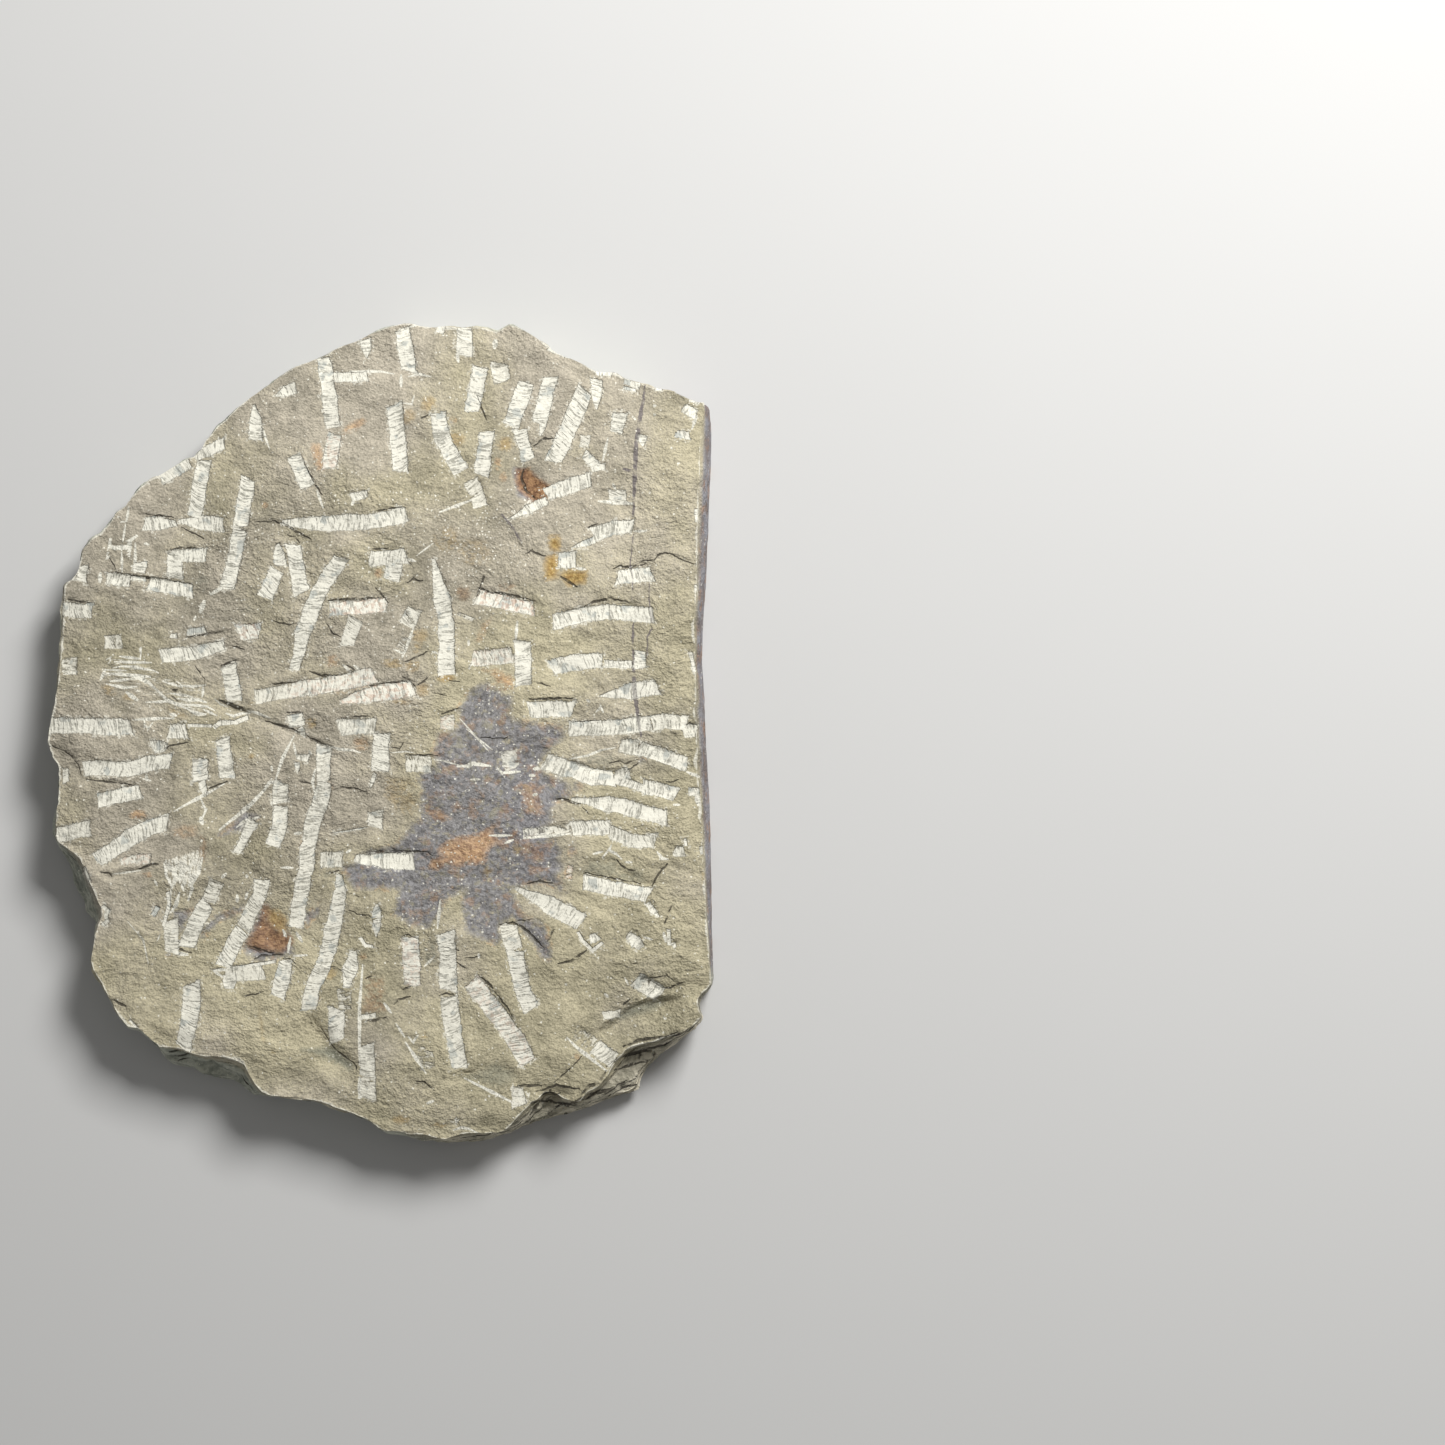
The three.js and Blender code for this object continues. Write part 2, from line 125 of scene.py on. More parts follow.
# The side by bearing, counter-clockwise from +X: the height of its widest point, how strongly it
# steps out as a shelf, and how far the foot is undercut below that point.
SIDE = np.array([
    (-180, 13, 0, 4), (-170, 11, 0, 2.5), (-162, 10, 0, 3), (-158, 6, 0.2, 1.5), (-150, 5, 0.4, 1.5),
    (-144, 12, 0, 3), (-132, 14, 0, 4), (-125, 8, 0.6, 2), (-117, 6, 1, 1.5), (-110, 6, 0.3, 1.5),
    (-102, 14, 0, 4), (-90, 13, 0, 3.5), (-79, 10, 0, 2.5), (-70, 9, 0.3, 2), (-63, 6, 1, 1.5),
    (-53, 6, 1, 2), (-46, 8, 0.8, 2), (-41, 13, 0, 3), (-38, 8, 0, 2), (-36, 2, 0, 0.6),
    (44, 2, 0, 0.6), (50, 14, 0, 3), (65, 15, 0, 4), (80, 13, 0, 2.5), (95, 14, 0, 4.5),
    (110, 12, 0, 3), (125, 15, 0, 5), (140, 13, 0, 3), (155, 14, 0, 4.5), (165, 12, 0, 2.5),
    (180, 13, 0, 4),
])

# Ledges where a flake has come away: drop, reach, the line whose right-hand side falls, and how
# wide the fall is where it isn't LEDGE_FACE.
LEDGES = [
    (3, 17, [-23, -110, -19.5, -114.5, -16.5, -119.5, -10.5, -124.5, -8, -126, -8.5, -129], 8),
    (3, 16, [86.5, -110, 90, -107.5, 93, -104, 96, -102.7, 106.5, -101]),
    (1.3, 9, [100.5, -93.5, 106, -97, 118, -94.5]),
    (1, 8, [-123, -6.5, -119, -8, -115.5, -10.5, -113, -14, -112, -17], 5),
    (0.9, 7, [-102, 57.5, -95.5, 58, -71, 54.6]),
    (0.9, 7, [-40, 17, -33, 18, -26.5, 21.5, -22, 20, -10, 21.3]),
    (1.1, 6, [-4, 16.3, 4, 17, 11, 18, 13.3, 16]), (1.4, 9, [-61, 10, -49.5, 6.7, -20, -6]),
    (1.1, 7, [-4, -46, 14, -46, 20, -47.5]),
    (1.2, 9, [76, -54, 77, -51, 80, -49, 88, -48.5, 92, -53, 101, -57]),
    (0.9, 6, [38.5, -93, 44, -98.5, 50, -108]), (1, 7, [45, -73.3, 50, -72.5, 56, -76, 61.5, -82]),
    (0.8, 6, [-110, -18.5, -98, -19.6, -92, -21]), (1.1, 6, [-48.5, -81.5, -44, -83, -36, -84.5]),
    (0.9, 8, [70, 44.4, 76, 45.4, 80, 47.7, 86, 49, 94, 47.6]), (0.9, 7, [73, -12, 88, -15.7]),
    (1, 7, [66.5, -26.5, 71, -27, 75.5, -28]), (0.9, 7, [-41, 78.4, -31, 74.4, -26, 71.3]),
    (0.8, 6, [-19.5, 48.3, -0.4, 49.3]), (0.9, 6, [37.3, 53, 40, 51.6, 51, 50, 58.3, 48]),
    (1, 7, [-100, -54.5, -82.5, -50.6]), (1.5, 10, [31, -128.5, 46, -124.5, 52, -129.5]),
]

# Shallow hollows: centre, half-widths along X and Y, and depth.
HOLLOWS = [
    (56, 93, 5.5, 6.5, 1.8), (-42, -77, 8, 8, 0.7), (66, -137, 7, 3.5, 1.6), (-98, 14, 13, 8, 0.8),
]

# A pale mark: its width, its path, how pale it is, its width at the start and the end as a share of
# the full width (1 is a square end, near 0 is drawn out to a point), and how rosy it is.
Mark = namedtuple("Mark", "width path pale start end rosy", defaults=(1, 1, 1, 0))

# The flat chisel's tracks, along their centre lines, with a mark's values in turn.
TRACKS = [Mark(*each) for each in [
    # The domed end.
    (4.5, [-83.3, 94.2, -72, 100.6]), (4.5, [-70.5, 102.8, -59, 107.8]),
    (5.4, [-66.3, 101.5, -70.4, 79.8]), (5.5, [-22, 140.5, -19.6, 127, -18.2, 113.5]),
    (5.5, [-17.5, 111.5, -19.3, 98], 1, 1, 1, 0.5), (4, [-18, 132.3, -5, 133]),
    (4.5, [-40, 125.5, -32, 129], 1, 0.1), (5, [-47.9, 122.5, -47, 109], 1, 0.2),
    (5.3, [-33, 103, -27.5, 91.3]), (5.6, [-49.9, 94.3, -52.8, 76.2]),
    (5.6, [-52.6, 75.2, -57.5, 52.3]), (4, [-6.2, 147.5, -5.5, 140], 1, 1, 0.1),
    (6, [7.8, 151.5, 10.3, 135]), (6, [31.3, 152, 31.3, 141]), (6, [37.2, 137, 36, 129, 34, 119.5]),
    (6.5, [44.5, 138.3, 45.5, 131], 0.6), (6, [54.7, 131, 49, 114.5]), (5.5, [63.8, 133, 59.5, 115]),
    (2.5, [61.5, 117, 60, 110.5], 1, 1, 0.1), (5.2, [52.4, 113, 55.4, 101.5]),
    (6.5, [77, 128, 65, 101]), (6, [21.3, 119.5, 23, 110, 27, 103, 30, 97]),
    (5.6, [39.8, 112, 37.9, 95.5]), (6, [5, 122.3, 7.6, 97]), (3, [21, 151.8, 23.5, 151]),
    (2, [63, 144, 69, 141.5]), (4.5, [81, 132, 81.2, 120.5], 1, 1, 0.1),
    (5.2, [90.2, 119, 88.7, 111.5]), (1.8, [81, 134.5, 87, 134]), (2.5, [91.5, 131.5, 97.5, 129.5]),
    (1.5, [91, 129, 96, 128]), (4, [98.5, 111.3, 98.6, 106.5], 1, 1, 0.1),
    (4, [77, 111, 76.5, 106], 0.5), (3.5, [76.5, 104, 82.5, 97.5]), (2.5, [79, 98, 84.5, 99]),
    (3.8, [114, 121.2, 118.8, 118.6]), (2.8, [110.8, 111.5, 116.3, 110.8]),
    (1.5, [103, 128.3, 106, 128.3]), (1.5, [116, 124.5, 120, 123]), (5.6, [62, 88.5, 79.2, 94.3]),
    (3.5, [48, 78.9, 63, 86.5], 1, 0.1),
    # The upper half.
    (5, [-89, 77.4, -76.8, 77.6], 1, 1, 0.4), (5.5, [-76, 78.5, -58.7, 76.7], 1, 0.2),
    (4.5, [-90.3, 62.8, -90.6, 58.8]), (3.7, [-112, 61.5, -112.3, 55.8]),
    (4.5, [-102.8, 56.8, -94, 55.8]), (2, [-94, 57, -88, 56.4]), (5.3, [-87, 54.8, -70.2, 51.8]),
    (5.6, [-119.3, 44.9, -108.3, 44.6], 0.8), (5.3, [-78, 65.2, -65.5, 65.6]),
    (6, [-77, 67, -77.2, 56.8]), (2.6, [-72.6, 36.3, -65.6, 37.4]), (2, [-79, 35.2, -76.2, 35]),
    (5, [-103.5, 32.6, -96.8, 33], 0.5), (5, [-82.5, 27.5, -70, 28.5, -58.3, 31.8], 1, 1, 0.8),
    (5, [-38.6, 69.8, -37.2, 61.5], 1, 0.3), (5.8, [-38.8, 60, -43.4, 49.5]),
    (6, [-33.1, 69.5, -29.5, 51.2]), (5.8, [-37, 77.8, -20, 77.3, -5, 78, 10, 80.6], 1, 0.3),
    (3.2, [-10.9, 87.2, -4.6, 88.8]),
    (5.8, [-14.3, 64.5, -18, 59.5, -23, 51.2, -29, 36, -32, 22.2], 1, 1, 0.6),
    (5.4, [-18.8, 45.3, 2.2, 46.6], 1, 1, 1, 0.7), (5.8, [-9.3, 41.5, -12.4, 31.2], 0.6),
    (5.5, [-4.2, 64.2, 10, 65]), (6, [5.6, 62.5, 4.1, 56]), (6, [-53.5, 36.3, -45, 37], 1, 1, 1, 0.6),
    (6, [34, 94, 38, 83.5], 0.55), (6.2, [20, 64, 23.6, 47, 24.8, 40, 24.9, 20.2], 1, 0.2),
    (5.5, [36.6, 49.8, 57.8, 45.4], 1, 1, 1, 0.8), (6, [13, 45.5, 9.9, 38.7], 0.55),
    (4.5, [10.8, 36, 7.3, 29], 0.35), (1.5, [29, 43.5, 35, 41], 0.4), (6.2, [53.7, 33, 53.9, 15.9]),
    (5.8, [34.5, 26.3, 50, 27.5], 0.8, 1, 1, 0.4), (6.5, [88.8, 90.3, 89, 85.6], 0.7),
    (5.3, [80, 73.3, 88, 76, 95, 76.5]), (2.5, [72, 68.3, 81, 71.5], 1, 0.1),
    (5.8, [66.8, 63.6, 73.2, 63.6]), (5.6, [88.7, 57, 101.9, 58.4]),
    (5.8, [65, 40.2, 76, 43, 87.5, 44.1, 103, 42.9]), (1.2, [118.6, 83, 118.8, 78]),
    (1.2, [118.5, 54.5, 118.5, 52]),
    # The middle.
    (5.8, [-116.8, 26.6, -116.8, 20.6], 0.5), (6, [-124.2, 1.3, -93, 0.8]),
    (5.8, [-79.5, -0.9, -72.2, -0.9]), (1.3, [-72.2, 1.4, -63, 1.2]),
    (5.2, [-85.5, -6.8, -79.5, -6.2], 1, 1, 0.5),
    (5.7, [-111, -15, -95, -14.9, -84, -12.6, -78.3, -12.2]), (5.6, [-105.5, -27, -89.5, -23.2]),
    (2.6, [-118, -14.5, -117.5, -20], 0.6), (5.8, [-67.3, -11.3, -67.2, -19.3]),
    (2.6, [-66.5, -19.5, -65.2, -25.5], 1, 1, 0.2), (5.9, [-56.9, 24.2, -54.3, 10.4]),
    (5.6, [-47, 12, -34, 14.5], 0.6), (6, [-34, 14.5, -20, 16.5, -2, 20.3], 1, 1, 1, 0.5),
    (6.3, [-14.5, 10.2, 0, 13.5, 13, 15.5], 1, 0.3, 1, 0.8),
    (1.8, [-62.5, 0.5, -60, 2.3, -54, 2.5, -49.5, 4.5], 0.8), (6.2, [-32, 5.7, -31, 1]),
    (2.2, [-30, 0.5, -28, -3.2], 1, 1, 0.3), (3, [-31.2, -10.5, -26.4, -10.8], 0.8, 0.6),
    (2, [-30.8, -12.5, -30.5, -16.3], 1, 1, 0.2), (5.5, [-36.8, -20, -37.5, -28], 0.8),
    (5.5, [-36.9, -28.8, -37.2, -36, -40, -43.8]), (5.8, [-59, -3.5, -57, -18.5]),
    (6.1, [-15.2, 0.2, -1.3, 1.3], 0.7), (6.5, [0.8, -1.5, 0.2, -16]),
    (1.5, [-1.5, -16.5, -3.5, -22.5], 1, 1, 0.2), (5.5, [-20.9, -5.8, -20.7, -20], 0.6),
    (5.7, [-20.7, -20, -21.5, -26, -23.5, -31, -25.5, -38, -26.6, -45, -27, -52, -30, -65, -31, -74.5],
     0.85),
    (6.2, [56, 7.3, 72.8, 7.6]), (5.6, [25.4, 5.3, 25.4, -0.5], 0.6, 1, 1, 0.5),
    (6, [48, -8.2, 49.8, -15.2], 0.55), (6.2, [61.8, -12.2, 80, -18, 88, -18.5]),
    (6.2, [10, -13, 19.5, -13.2], 0.55), (5.8, [64.2, 22.9, 72, 24.8, 83.5, 26]),
    (2.5, [84.3, 24.8, 94.5, 24.3]), (4.3, [97.7, 29.5, 97.7, 22.8]),
    (6, [82.5, 12.3, 92, 14, 104.3, 15.7], 1, 0.1), (5.8, [71, 0, 83, 0.3, 102, 2.1]),
    (5.8, [102, 2.1, 108, 2.9, 115.2, 2.3], 0.7), (5, [113.5, -0.8, 119, -0.6], 0.6),
    (5.6, [90, -6, 97, -7.2], 0.8), (5.6, [97, -7.2, 104, -9.2, 115.5, -13.3]),
    (4, [88.5, -17.5, 93.5, -16.6], 0.9), (3, [88, -18.8, 100, -22.5]),
    (5.5, [99, -21.5, 111.5, -24.5]), (3, [116, -23.4, 120, -23.6], 0.8),
    (6, [72, -26.3, 90, -28.8, 100, -31.8, 108, -33.3], 1, 0.15),
    (1.5, [116.5, 29, 117.8, 24, 118, 21.5]),
    # The lower half.
    (5.8, [-121, -39.5, -108, -37.2], 0.75),
    (6.2, [-106, -49, -100, -46, -93, -40.8, -85, -36.5, -79, -35.3]),
    (3.5, [-97, -49.8, -85.5, -48.6], 0.6, 1, 1, 0.6), (1.8, [-110.8, -52, -108.3, -57.5]),
    (1.6, [-103.5, -66.3, -101.5, -68, -102, -70, -101.5, -72, -103.5, -73.7]),
    (1.8, [-82.5, -66.5, -84.5, -70]), (1.5, [-79, -61, -78.5, -66, -80.5, -74]),
    (5.5, [-77.8, -71.5, -77.2, -84], 0.75), (5.8, [-60.5, -57, -64, -65], 0.6),
    (5.8, [-64, -65, -68, -72, -72, -81.5]), (4, [-47, -34.5, -53.3, -46.5], 1, 1, 0.75),
    (1, [-18, -39, -12, -38.3, -4, -36.8], 1, 0.2, 0.2), (5.5, [-1.2, -30.8, -1.3, -37], 0.6),
    (6, [-22, -49, -13.5, -48.8], 0.55), (6.2, [-9, -48.4, -4, -49, 12.7, -49.8], 1, 0.4),
    (5.8, [-15, -54.5, -14.3, -60, -15, -65, -18.5, -82, -20.5, -88, -24.5, -97, -26.3, -105.5], 0.9,
     0.4),
    (3.6, [-0.6, -65.5, -0.6, -71], 1, 0.3), (3, [-0.6, -71, -1, -78], 1, 1, 0.1),
    (5.6, [-43.7, -56.5, -44.5, -62, -51, -75], 0.75), (6, [-51, -75, -54.5, -81, -58.3, -89]),
    (5.4, [-57.5, -91.6, -42.5, -91.4], 0.7), (1.4, [-62, -90.5, -55, -89.8, -38.5, -87]),
    (5, [-56, -91.5, -55.5, -97.3], 1, 1, 0.6), (6, [-34.5, -86.5, -37.7, -100.5], 1, 0.8),
    (6, [-9.5, -83, -12, -97], 1, 0.4, 0.4), (1.3, [-7, -78, -5, -81, -2, -81.5]),
    (3.5, [54, -39, 72, -37.3], 0.5), (5.6, [72, -37.4, 86.5, -36.8]),
    (5.2, [86.5, -38.6, 95, -42, 103.5, -42], 0.8),
    (6.8, [51, -59.5, 63, -65.5, 69, -69, 76, -72.5], 1, 0.15),
    (1.3, [74.5, -76, 76.5, -79.5, 80, -83, 84, -80]), (3, [79, -79, 82, -77.5]),
    (6.4, [11.8, -78, 12.7, -96], 1, 1, 1, 0.5), (6.6, [25.3, -76, 26.2, -98]),
    (6.4, [26.3, -100, 27.5, -110, 30.5, -127], 0.85), (6.3, [48.5, -73.5, 51, -83], 0.75),
    (6.3, [51, -83, 54, -98, 57, -105.3]),
    (6.8, [34.5, -94.5, 46, -109, 51, -116, 56, -125], 1, 1, 1, 0.4),
    (2.5, [71.8, -50.8, 71, -56.5], 0.5, 1, 1, 1), (5.8, [76.5, -57.3, 87, -59.8, 101, -62.5]),
    (2.5, [100.5, -65, 102, -67.5, 105, -70.5], 1, 1, 0.3), (4, [110, -46, 114.5, -46], 0.7),
    (1.2, [114.5, -41, 115, -44]), (1.2, [120.5, -44, 120.8, -47]),
    (5.5, [93.2, -77, 98.6, -82], 1, 0.5, 0.4), (1.5, [108.5, -75, 108.7, -81], 0.8),
    (1.5, [110, -80, 111, -82], 0.8), (6, [96.2, -93.8, 100.8, -96.5], 0.6),
    (6, [100.8, -96.5, 105.5, -99.3]),
    # The foot of the slab.
    (6.5, [-70, -95, -69.6, -102, -70.7, -110, -73, -119.5]), (1, [-93, -108.8, -90, -112]),
    (5, [-12.5, -98, -12.6, -105], 0.45), (6, [-15.8, -104.5, -15.3, -117]),
    (1.8, [-7, -108, -1, -107.2], 0.9), (5.5, [-4.3, -118.5, -4, -130], 0.75),
    (6, [-3.8, -130, -3.8, -138.2], 0.55), (6, [17.6, -119, 18.4, -127.5], 0.35),
    (5, [52, -134, 52.5, -141], 0.6, 0.6), (1.8, [28.5, -147, 30, -145.5]),
    (3, [84, -107.4, 90.5, -106.4], 0.6), (6, [73.5, -113.5, 81, -118.7], 0.3),
    (6, [81, -118.7, 88, -124], 0.75),
]]

# Thin pale scratches: width and path.
SCRATCHES = [
    (0.8, [-12, 135, 0, 135, 5, 134]), (0.8, [-45, 114, -42, 106]), (0.9, [-24, 90, -21.5, 83]),
    (1.2, [-58.4, 53.6, -64, 50.5]), (1, [7.5, 134, 7.5, 129]), (1.2, [28.5, 142, 29, 138.5]),
    (1.5, [43, 147.5, 42.5, 143.5]), (0.7, [10, 133, 14, 134, 19, 133]),
    (0.6, [12.5, 126, 11.5, 122.5, 8, 123]), (0.8, [10, 152, 14, 153]), (0.8, [85.5, 110, 83.5, 101]),
    (0.8, [119, 118.5, 117, 113]), (1, [109, 106.2, 110, 105.8]), (1, [111.5, 100.4, 112.5, 100]),
    (1, [103, 122.6, 103, 121.4]), (1, [103, 119.2, 103, 118.2]), (1, [95.2, 117.5, 95.8, 116.5]),
    (0.8, [-55, 122, -45, 129]), (0.9, [87.2, 92.7, 88.5, 90.2]), (1.2, [-88, 82.6, -87, 82.6]),
    (1, [-95, 83.5, -95.7, 78]), (0.7, [-96, 77.5, -97, 70.4]), (0.7, [-97.5, 67.7, -97, 59]),
    (0.7, [-98.2, 78, -95.7, 78.4]),
    (1.5, [-101.7, 72, -102, 69, -100.3, 68.3, -94.6, 68.5, -94.3, 71, -91.4, 73]),
    (0.9, [-92.3, 70.3, -92.3, 59]), (0.8, [-89, 70, -87, 69.5]), (0.8, [-112.5, 56.5, -117, 56.5]),
    (1.2, [-105.3, 59, -105.5, 55]), (1.6, [-66, 48.4, -67.7, 43.6]), (0.8, [-69.2, 42.7, -70, 40.7]),
    (0.8, [-97.7, 27.3, -90, 26.5]), (1, [-10.8, 84, -9.8, 86.5]), (0.8, [10, 64, 13.5, 63]),
    (0.5, [13.5, 65, 20, 70]), (0.9, [22, 81.5, 36, 87]), (0.8, [19.5, 29, 21.7, 28.5]),
    (0.9, [12.7, 38.4, 9, 28]), (0.8, [5, 30, 9, 28.3, 10.5, 31]), (0.9, [33.3, 33.6, 33.3, 31.2]),
    (1, [51.6, 40.7, 51, 33.3]), (1.3, [81.6, 86, 95, 85]), (1.6, [94.4, 88.5, 95.6, 88.5]),
    (0.8, [95, 74.6, 100, 74.6]), (0.8, [73.5, 60.5, 77.5, 60]),
    # The bundle of fine scratches on the left.
    (0.8, [-119, 20.5, -113.3, 21.5]), (0.8, [-98, 27.4, -90, 26.3, -90, 26]),
    (0.8, [-100, 25.3, -85.7, 25]), (0.8, [-100.5, 23, -97, 23.6, -93, 23.4, -85, 22, -83, 21]),
    (0.7, [-103.3, 22.3, -95, 22]), (1.2, [-103, 21, -86, 19.6]), (1, [-103, 22.7, -105, 18.3]),
    (0.5, [-103, 26, -101.5, 26.8, -101.2, 25.8, -102.2, 24.5]), (0.9, [-101.5, 18, -92.5, 19]),
    (1, [-103, 17, -96, 15.6, -91, 16]), (1.2, [-95.5, 14, -90.7, 10.7]),
    (1, [-96, 20.5, -90, 19, -87, 17.6, -83, 14]), (0.7, [-81.7, 18, -74, 15.7]),
    (0.7, [-76.5, 18, -74, 16.3, -70, 16, -65.3, 16.6]), (0.8, [-79, 13.5, -70, 12]),
    (1, [-76, 11.6, -73, 11, -68, 11, -65, 10]), (0.8, [-66.5, 16, -66.5, 13, -67, 12]),
    (0.7, [-88, 10, -77.5, 10.5]), (0.9, [-84.5, 15.5, -80, 11, -71, 7]),
    (0.8, [-77, 10, -73, 9, -70, 9, -65, 8.5, -62, 7]), (1.2, [-72, 7.3, -68, 5.6, -65, 5.6]),
    (0.8, [-66.5, 7.5, -61, 5]), (1, [-79, 5.6, -76, 5]), (1, [-86.5, 8.5, -85.5, 8.5]),
    (0.9, [-93, 3.4, -82, 4, -77, 4]), (0.6, [-88.3, 3.5, -88, 1, -86.5, 0.5, -85, 2.5]),
    (1, [-87.6, -17, -87.3, -19, -85.7, -19.4]), (0.9, [-77, -31, -58, -20.5]),
    (0.7, [-67, -26, -65, -30.5, -66.5, -34.5]), (1.4, [-79, -32, -87, -36]),
    (0.6, [-62.3, 11.5, -60, 9.5, -57, 8.3]), (0.8, [-50, 7, -46, 6, -41, 4]),
    (0.9, [-58, 6, -55, 5, -51.5, 6, -48.5, 6]), (0.8, [-14, 24.3, -11, 21.5]),
    (0.7, [-10, 24, -7, 22]), (0.8, [-20, -6, -15, -7.7, -10, -8, -7, -9]),
    (0.9, [-32, -2, -36.5, -11.5, -39, -19.5]), (0.8, [-32.3, -5, -31, -10.5]),
    (0.8, [-26.5, -8, -25.5, -9.8]), (0.7, [-40.5, -13.7, -40.2, -16]),
    (1, [-38, -20, -41, -20, -43, -22]), (1.1, [-41, -20.5, -48, -28.3, -60, -38]),
    (1, [-24, -15, -25, -20, -24, -25]),
    # Inside and beside the large stain.
    (1.2, [29, -14, 33, -14, 35, -13, 42, -14]), (1, [44, -14.5, 46, -16.5, 53, -16]),
    (0.9, [34, -19, 38, -19]), (1, [40, -20.5, 41, -20.5]), (1, [57.5, -25, 59.3, -24.3]),
    (0.9, [56, -17.5, 58.5, -17.5]), (0.6, [30, 4, 41, -8.5]), (0.5, [32.5, 0, 42.5, -8]),
    (0.9, [57.5, -15, 60, -14.8]), (0.5, [4, -9, 10, -8.5, 13, -9]),
    (0.5, [20, -11.5, 24, -12, 31, -14]), (0.9, [83, 23.3, 101, 23.5]), (0.8, [77.5, 11, 79, 10]),
    (0.7, [81, 6.3, 83, 8, 84, 6]), (0.5, [90, -2, 98, -0.7]), (1.2, [115, -16, 120, -18]),
    (0.7, [71, -11.3, 78, -10, 83, -8, 88.5, -7]), (0.9, [110, -28.5, 112.8, -28.5]),
    (1.5, [119, -24, 119.6, -29]),
    # The lower half.
    (0.7, [-100, -54.5, -89, -53]), (0.7, [-84, -56.5, -82.8, -59]),
    (0.9, [-80.5, -50, -79.5, -55, -77.5, -59]), (0.9, [-75, -55.5, -70, -51]),
    (0.9, [-74, -58, -73, -61]), (1, [-71, -53, -70, -60, -71.5, -64.5]),
    (1, [-66, -48, -67.5, -54, -70.5, -59.5]), (1, [-74.5, -61, -76, -66, -78, -69]),
    (0.9, [-80, -79, -70, -80]), (1.2, [-76, -84, -71, -84.6]), (0.6, [-81.7, -77, -82.8, -79.5]),
    (0.5, [-94, -72, -88, -79, -86, -88]), (1.2, [-67, -33, -66, -36]), (1.6, [-66.8, -42, -66, -42.6]),
    (0.9, [-45, -33, -51, -35, -53.5, -37]), (1, [-32, -39.3, -29, -39]),
    (1, [-12.5, -46.5, -10.5, -45.3]), (1, [-53, -62, -53, -65]), (0.9, [-49, -61, -50, -64]),
    (1.2, [-50, -55, -49, -55.6]), (1, [-57, -54, -59, -56]), (0.8, [-36, -75, -34.5, -78]),
    (0.8, [-33, -78, -34, -84]), (1, [-31, -76, -28.5, -80]), (0.9, [-62, -90.5, -58, -93]),
    (0.9, [-32, -85, -26.5, -84.7]), (0.9, [-37, -52, -32, -52]), (0.9, [23, -64, 22, -75]),
    (0.8, [41, -40, 50, -40]), (0.8, [47, -43, 50.5, -41.5]), (1.3, [51.2, -38.2, 52.4, -38.2]),
    (1, [54, -41, 72, -39.3]), (0.8, [29, -100.5, 30, -103]), (0.7, [17, -89, 21, -85]),
    (1.4, [37, -85, 38, -85]), (0.8, [80, -47, 84, -46]),
    (0.9, [83.5, -48.5, 86, -45.5, 89, -47, 91, -49]), (0.9, [92, -50, 95, -50]),
    (1, [104, -46, 106, -48.5, 108.5, -49]), (0.8, [99, -78, 102.5, -79]),
    (0.9, [106.5, -76, 107.5, -80]), (0.6, [92, -93, 93.5, -96]),
    # The foot of the slab.
    (0.8, [-15.5, -117.2, -18, -115]), (0.9, [-6, -88, -7, -104, -7, -126]),
    (0.9, [-7, -130, -7, -138]), (1, [-7.5, -138, -6, -137.5]), (1, [2, -102.5, 5, -106.5]),
    (1, [10, -117, 18, -129]), (0.7, [6.5, -110, 10, -115.5]), (0.8, [11, -115, 13, -117, 15, -114.5]),
    (0.9, [32, -130.5, 53, -141]), (0.8, [28, -150, 31, -149, 34, -149.5, 37, -151]),
    (1, [18, -140, 21, -139]), (0.9, [84.5, -99, 86, -100.5]), (1.2, [69.5, -95.7, 70.6, -95.7]),
    (1.2, [106.5, -108.5, 107.6, -108.5]), (1, [70.3, -115.3, 74, -119, 85.5, -128]),
]

# Ragged pale patches without tool ribs: how pale, and the outline.
PATCHES = [
    (0.42, [-104, 27, -91, 28, -83, 22, -68, 17, -66, 11, -62, 6, -70, 5, -78, 10, -95, 14, -104, 18]),
    (0.8, [-81, -49, -71, -46, -68, -44, -66, -46, -66, -49, -66, -53, -70, -59, -72, -64, -73, -60,
     -75, -58, -79, -70, -79, -56]),
    (0.6, [48, -131, 60, -137, 54, -142, 47, -137]), (0.4, [14, -119, 19, -118, 20, -127, 18, -128]),
    (0.55, [84, -109, 84, -106, 87, -104, 88, -106, 91, -106, 86, -109]),
]
